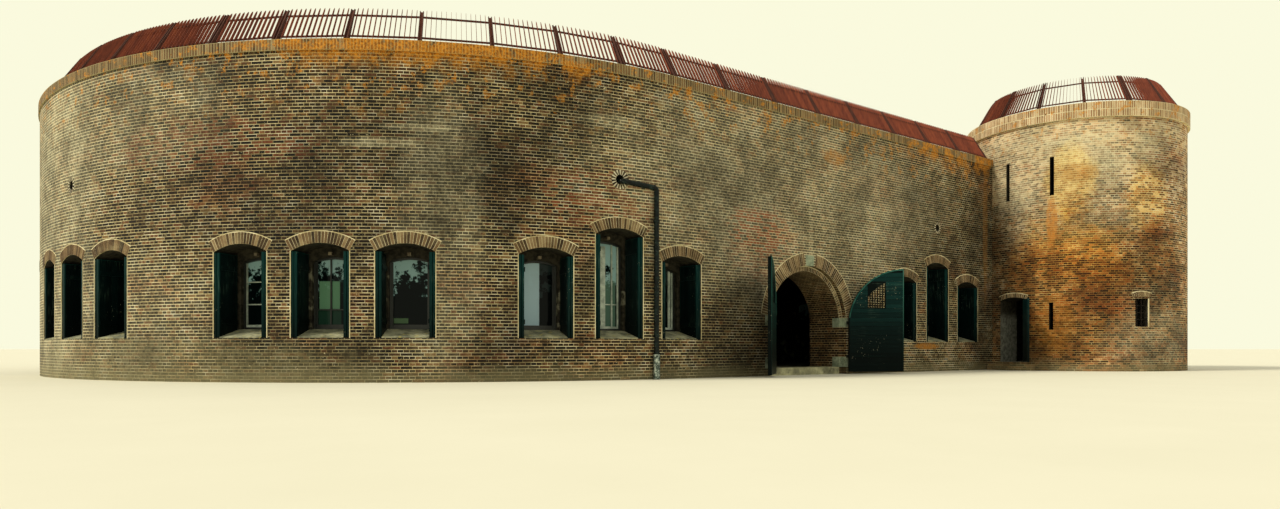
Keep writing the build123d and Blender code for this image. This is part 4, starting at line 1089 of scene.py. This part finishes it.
class FORT_OT_windows(bpy.types.Operator):
    """Frames, bars, glass, sills and shutters"""

    bl_idname = "fort.windows"
    bl_label = "Windows and shutters"

    def execute(self, context):
        slats = context.scene.fort_joinery.slats
        # Brushed black oil paint on softwood: dark, with a faint sheen
        frame_paint = weathered(
            "black_frame_paint", ((0.0, "#0d0f0e"), (1.0, "#20241f")), 0.2, 0.45, 0.0005, IOR=1.5
        )
        # Brushed grey-green oil paint, bleached by the sun: pale bars before the dark room
        sash_paint = weathered(
            "grey_sash_paint", ((0.0, "#93a08f"), (1.0, "#d2ddc8")), 0.15, 0.5, 0.0005, IOR=1.5
        )
        # Cement render laid by float: rough grey, with moss in patches and dark damp
        sill = weathered(
            "cement_render", ((0.0, "#5b5c47"), (0.5, "#8a8a6c"), (1.0, "#b3b08a")), 0.25, 0.9, 0.004,
            marks=(("#b9ad5c", 0.12, 0.55, 0.68, 0.8), ("#2f2e22", 0.2, 0.56, 0.7, 0.7)),
        )
        # Shutters in green paint; the boards that stand in the recess take a darker copy of it as painted
        # shade
        teal = painted_wood("green_oil_paint", (
            (0.0, "#031b1a"), (0.35, "#082b29"), (0.6, "#0e3a37"), (1.0, "#23564d"),
        ), True)
        shaded = painted_wood("shaded_green_paint", (
            (0.0, "#010505"), (0.4, "#030d0d"), (0.75, "#071a19"), (1.0, "#0f2b28"),
        ), True)
        # Sawn oak left bare: silver grey and dull
        oak = weathered("grey_oak", ((0.0, "#4b3f2e"), (1.0, "#867a5f")), 0.1, 0.85, 0.001)
        for name, finish in (
            ("frames", frame_paint),
            ("glass", window_glass("drawn_glass")),
            ("sills", sill),
            ("shutters", teal),
        ):
            set_finish([f"window_{name}_front", f"window_{name}_rear"], finish)
        pale, dark, boards, blocks = Stack(5), Stack(6), Stack(7), Stack(9)
        half = LIGHT_HALF - FRAME_BAR
        low = LIGHT_LOW + FRAME_BAR
        right_stile = half - STILE
        face = WINDOW_HALF - SHUTTER_WIDTH
        slat_width = (SHUTTER_LENGTH - 2 * SHUTTER_EDGE) / slats
        ledge_outs = (-SHUTTER_FRONT - SHUTTER_LENGTH + BOARD_INSET, -SHUTTER_FRONT - BOARD_INSET)
        for name, _, spot, spring in all_windows():
            light_spring = spring - LIGHT_DROP
            top = light_spring + LIGHT_RISE - FRAME_BAR
            uprights, crossings, is_pale, left_width, bar = SASHES.get(name, USUAL_SASH)
            left_stile = left_width - half
            bars = pale if is_pale else dark
            bars.block(spot, (-half, left_stile), (low, light_spring), SASH_OUTS)
            bars.block(spot, (right_stile, half), (low, light_spring), SASH_OUTS)
            bars.block(spot, (left_stile, right_stile), (low, low + BOTTOM_RAIL), SASH_OUTS)
            for middle in uprights:
                edges = (middle - bar / 2, middle + bar / 2)
                bars.block(spot, edges, (low + BOTTOM_RAIL, top - 0.005), SASH_OUTS)
            stops = [left_stile, *uprights, right_stile]
            for share in crossings:
                level = low + (top - low) * share
                for left, right in zip(stops, stops[1:]):
                    left += bar / 2 if left in uprights else 0
                    right -= bar / 2 if right in uprights else 0
                    bars.block(spot, (left, right), (level, level + CROSSING), SASH_OUTS)
            for side in (-1, 1):
                slat_sides = (side * face, side * (face - SLAT_THICKNESS))
                ledge_sides = (slat_sides[1], side * (face - SLAT_THICKNESS - LEDGE_THICKNESS))
                for slat in range(slats):
                    back = -SHUTTER_FRONT - SHUTTER_EDGE - slat * slat_width
                    outs = (back - slat_width + SLAT_GAP, back)
                    boards.block(spot, slat_sides, (SILL_LEVEL + BOARD_INSET, spring - BOARD_INSET), outs)
                for level in (LOW_LEDGE, spring - HIGH_LEDGE_DROP):
                    boards.block(spot, ledge_sides, (level, level + LEDGE_HEIGHT), ledge_outs)
            stop_levels = (light_spring + LIGHT_RISE + 0.02, spring + 0.03)
            blocks.block(spot, STOP_SIDES, stop_levels, STOP_OUTS)
        make_piece("pale_sashes", pale, sash_paint)
        make_piece("dark_sashes", dark, frame_paint)
        make_piece("shutter_boards", boards, shaded)
        make_piece("shutter_stops", blocks, oak)
        return {"FINISHED"}


class FORT_OT_gate(bpy.types.Operator):
    """Stone blocks, boards, trim and ironwork of the gate"""

    bl_idname = "fort.gate"
    bl_label = "Gate"

    def execute(self, context):
        sizes = context.scene.fort_joinery
        # Limestone dressed with a chisel: green-grey blocks with dark spots
        stone = weathered(
            "dressed_limestone", ((0.0, "#6c7760"), (0.5, "#8b967b"), (1.0, "#a7b091")), 0.2, 0.85,
            marks=(("#4e4e3a", 0.15, 0.56, 0.7, 0.6),),
        )
        # Hard sandstone worn by feet: paler and warmer than the blocks
        threshold = weathered(
            "worn_hardstone", ((0.0, "#6b6a4e"), (0.6, "#9c9973"), (1.0, "#c3bf93")), 0.3, 0.85, 0.003,
            marks=(("#3b3828", 0.2, 0.55, 0.68, 0.6),),
        )
        # Deep green paint on the boards, paler where the trim is rubbed; nearly black in the seams, as
        # painted shade
        paint = painted_wood("gate_green_paint", (
            (0.0, "#041a1a"), (0.35, "#092726"), (0.7, "#103533"), (1.0, "#1f4b46"),
        ), False)
        edge_paint = painted_wood(
            "gate_edge_paint", ((0.0, "#0f3a35"), (0.5, "#265d53"), (1.0, "#5a8c7c")), True
        )
        seams = painted_wood(
            "seam_shade_paint", ((0.0, "#010404"), (0.6, "#041110"), (1.0, "#0b2422")), False
        )
        # Forged straps and pins, blackened: dull metal with brown rust at its light places
        iron = weathered(
            "wrought_iron", ((0.0, "#131615"), (0.6, "#262c29"), (1.0, "#4a3a2c")), 0.08, 0.55, 0.0008,
            Metallic=0.7,
        )
        set_finish(["gate_stones"], stone)
        set_finish(["gate_threshold"], threshold)
        set_finish(["gate_leaf_left", "gate_leaf_right"], seams)
        set_finish(["tower_door_leaf"], paint)
        set_finish(["gate_straps_left", "gate_straps_right", "tower_door_straps", "hinge_pintles"], iron)
        closed = wall_spot(GATE_PLACE)
        radius, middle = arc_of(GATE_HALF, GATE_SPRING, GATE_RISE)
        rim = radius - LEAF_GAP
        crown = GATE_CROWN - LEAF_GAP

        def reach(up):
            """How far the boards go from the gate's middle at a level."""
            if up <= GATE_SPRING:
                return GATE_HALF - LEAF_GAP - BOARD_MARGIN
            return math.sqrt(max((rim - LEAF_TRIM) ** 2 - (up - middle) ** 2, 0.0))

        for side, label in ((-1, "left"), (1, "right")):
            hinge = closed(side * GATE_HALF, 0, AXIS_PROUD)
            swing = Matrix.Rotation(side * GATE_OPEN, 3, "Z")

            def spot(along, up, out):
                return hinge + swing @ (closed(along, up, out) - hinge)

            boards, trim = Stack(11 + side), Stack(21 + side)
            level = BOARD_FOOT
            while level < crown - BOARD_MARGIN - LEAST_BOARD:
                top = min(level + sizes.board - BOARD_SEAM, crown - BOARD_MARGIN)
                spans = [(BOARD_NEAR, None)]
                if top > GRILLE_LOW and level < GRILLE_HIGH:
                    outer = GATE_HALF - GRILLE_NEAR
                    inner = outer - GRILLE_WIDTH
                    spans = [(BOARD_NEAR, inner - GRILLE_MARGIN), (outer + GRILLE_MARGIN, None)]
                for near, far in spans:
                    low_far = far or reach(level)
                    high_far = far or reach(top)
                    if min(low_far, high_far) < near + BOARD_MARGIN:
                        continue
                    corners = ((near, level), (low_far, level), (high_far, top), (near, top))
                    outline = [(side * along, up) for along, up in corners]
                    for outs in BOARD_FACES:
                        boards.plate(spot, outline, outs)
                level += sizes.board
            count = 16
            first = math.acos((GATE_SPRING - middle) / rim)
            for n in range(count):
                turns = [first - (first - 0.006) * step / count for step in (n, n + 1)]
                trim.plate(spot, sector(rim - LEAF_TRIM, rim, *turns, middle, side), TRIM_OUTS)
            edges = [side * edge for edge in MEETING_EDGE]
            trim.block(spot, edges, (LEAF_FOOT, crown - MEETING_DROP), TRIM_OUTS)
            trim.block(spot, [side * end for end in STRIP_ENDS], STRIP_LEVELS, STRIP_OUTS)
            body = f"gate_leaf_{label}"
            make_piece(f"gate_boards_{label}", boards, paint, body, 0.0015)
            make_piece(f"gate_trim_{label}", trim, edge_paint, body)
        return {"FINISHED"}


class FORT_OT_vents(bpy.types.Operator):
    """Radial brick rings round the vents"""

    bl_idname = "fort.vents"
    bl_label = "Vent rings"

    def execute(self, context):
        ring, lime = Stack(31), Stack()
        brick = arch_brick("vent_brick", VENT_BRICKS)
        # Fat lime pressed in by hand: nearly white between the dark bricks
        mortar = weathered("pale_lime", ((0.0, "#b5ac8b"), (1.0, "#efe8c8")), 0.2, 0.95)
        for side in (-1, 1):
            for group, count, outer in VENTS:
                spot = wall_spot(GROUPS[group], side)
                for first, last in around(count, VENT_BRICK_SHARE):
                    turns = (math.pi / 2 - first, math.pi / 2 - last)
                    brick_outline = sector(VENT_RADIUS, outer, *turns, VENT_HEIGHT)
                    ring.plate(spot, brick_outline, (BED_BACK, VENT_PROUD))
                for turns in around(CIRCLE_PARTS):
                    lime_outline = sector(VENT_RADIUS, outer - VENT_INSET, *turns, VENT_HEIGHT)
                    lime.plate(spot, lime_outline, BED_OUTS)
        make_piece("vent_rings", ring, brick)
        make_piece("vent_mortar", lime, mortar)
        return {"FINISHED"}


class FORT_OT_pipe(bpy.types.Operator):
    """Finish, collars and shoe of the rain pipe"""

    bl_idname = "fort.pipe"
    bl_label = "Rain pipe"

    def execute(self, context):
        # Cast iron dipped in tar: black and glossy, with grey flecks as painted highlights
        tar = weathered(
            "tarred_iron", ((0.0, "#040807"), (0.6, "#0b1412"), (1.0, "#1d2c27")), 0.12, 0.2, 0.0008,
            marks=(("#9aa597", 0.03, 0.66, 0.7, 0.8),), Specular_IOR_Level=0.14,
        )
        # Rolled zinc gone dull: blotched grey metal
        zinc = weathered(
            "dull_zinc", ((0.0, "#1b2422"), (0.5, "#56635d"), (1.0, "#c3cbc0")), 0.05, 0.3, 0.0006,
            Metallic=0.85,
        )
        set_finish(["rain_pipe", "pipe_fittings"], tar)
        spot = wall_spot(PIPE_PLACE, bent=False)

        def sleeve(stack, levels, radius, wall):
            """Tube round the pipe's middle line."""
            for turns in around(CIRCLE_PARTS):
                ring = sector(radius, radius + wall, *turns, PIPE_OUT)
                stack.prism(*[[spot(along, level, out) for along, out in ring] for level in levels])

        collars, shoe = Stack(41), Stack()
        for low in COLLAR_LEVELS:
            sleeve(collars, (low, low + COLLAR_HEIGHT), PIPE_RADIUS, COLLAR_WALL)
        sleeve(shoe, SHOE_LEVELS, SHOE_RADIUS, SHOE_WALL)
        make_piece("pipe_collars", collars, tar)
        make_piece("pipe_shoe", shoe, zinc)
        return {"FINISHED"}


class FORT_OT_floors(bpy.types.Operator):
    """Concrete of the floors and roof"""

    bl_idname = "fort.floors"
    bl_label = "Floors and roof"

    def execute(self, context):
        # Concrete smoothed with a trowel: flat grey with broad damp patches
        concrete = weathered(
            "trowelled_concrete", ((0.0, "#6c6855"), (1.0, "#9c967c")), 0.8, 0.92, 0.003,
            marks=(("#55523d", 0.6, 0.52, 0.66, 0.6),),
        )
        set_finish(["main_floor", "main_roof_deck", "tower_floors"], concrete)
        return {"FINISHED"}


class FORT_OT_stage(bpy.types.Operator):
    """Floor, soft light and camera"""

    bl_idname = "fort.stage"
    bl_label = "Stage"

    def execute(self, context):
        settings = context.scene.fort_stage
        scene = context.scene
        scene.view_settings.view_transform = "Standard"
        world = bpy.data.worlds.new("studio")
        scene.world = world
        world.use_nodes = True
        world.node_tree.nodes.clear()
        put = partial(add_node, world.node_tree)
        rays = put("LightPath").outputs
        seen = put("MAXIMUM", rays["Is Camera Ray"], rays["Is Glossy Ray"])
        seen = put("MAXIMUM", seen, rays["Is Transmission Ray"])
        light = put("Background", (0.95, 0.93, 0.84, 1.0), 0.8)
        shown = put("Background", (*settings.sky, 1.0), 1.0)
        put("OutputWorld", put("MixShader", seen, light, shown))

        floor_mesh = bpy.data.meshes.new("floor")
        corners = [(x * FLOOR_REACH, y * FLOOR_REACH, 0) for x, y in ((-1, -1), (1, -1), (1, 1), (-1, 1))]
        floor_mesh.from_pydata(corners, [], [(0, 1, 2, 3)])
        floor = bpy.data.objects.new("floor", floor_mesh)
        scene.collection.objects.link(floor)
        # Matt paper: a floor of one pale tone that takes a soft shadow
        paper, put = start_material("floor_paper")
        lumps = put("TexNoise", put("TexCoord").outputs["Object"], 1 / 2.0)
        close_material(put, put("Mix", lumps, "#dcd8bf", "#e4e0c8"), 0.95, Specular_IOR_Level=0.1)
        floor_mesh.materials.append(paper)

        lamp = bpy.data.lights.new("soft_lamp", "SUN")
        lamp.energy = settings.lamp
        lamp.angle = LAMP_SIZE
        lamp.color = (1.0, 0.95, 0.84)
        lamp_object = bpy.data.objects.new("soft_lamp", lamp)
        level = math.cos(LAMP_DROP)
        beam = Vector((level * math.cos(LAMP_TURN), level * math.sin(LAMP_TURN), -math.sin(LAMP_DROP)))
        lamp_object.rotation_euler = beam.to_track_quat("-Z", "Y").to_euler()
        scene.collection.objects.link(lamp_object)

        lens = bpy.data.cameras.new("photo_view")
        lens.sensor_width = SENSOR_WIDTH
        lens.sensor_fit = "HORIZONTAL"
        lens.lens = SENSOR_WIDTH * FOCAL_PIXELS / PHOTO_WIDTH
        lens.shift_y = (HORIZON_ROW - PHOTO_HEIGHT / 2) / PHOTO_WIDTH
        lens.clip_end = VIEW_REACH
        camera = bpy.data.objects.new("photo_view", lens)
        camera.location = EYE
        camera.rotation_euler = (math.pi / 2, 0, -HEADING)
        scene.collection.objects.link(camera)
        scene.camera = camera
        return {"FINISHED"}


class FORT_PT_panel(bpy.types.Panel):
    """Lists the fort's operators"""

    bl_idname = "FORT_PT_panel"
    bl_label = "Brick Fort"
    bl_space_type = "VIEW_3D"
    bl_region_type = "UI"
    bl_category = "Fort"

    def draw(self, context):
        for operator in OPERATORS:
            self.layout.operator(operator.bl_idname)


SETTINGS = {
    "fort_masonry": MasonrySettings,
    "fort_fence": FenceSettings,
    "fort_joinery": JoinerySettings,
    "fort_stage": StageSettings,
}
OPERATORS = (
    FORT_OT_walls, FORT_OT_copings, FORT_OT_arches, FORT_OT_fence, FORT_OT_windows, FORT_OT_gate,
    FORT_OT_vents, FORT_OT_pipe, FORT_OT_floors, FORT_OT_stage,
)


def register():
    for kind in (*SETTINGS.values(), *OPERATORS, FORT_PT_panel):
        bpy.utils.register_class(kind)
    for name, kind in SETTINGS.items():
        setattr(bpy.types.Scene, name, PointerProperty(type=kind))


def unregister():
    for name in SETTINGS:
        delattr(bpy.types.Scene, name)
    for kind in reversed((*SETTINGS.values(), *OPERATORS, FORT_PT_panel)):
        bpy.utils.unregister_class(kind)


def main():
    register()
    for operator in OPERATORS:
        group, name = operator.bl_idname.split(".")
        getattr(getattr(bpy.ops, group), name)()


if __name__ == "__main__":
    main()
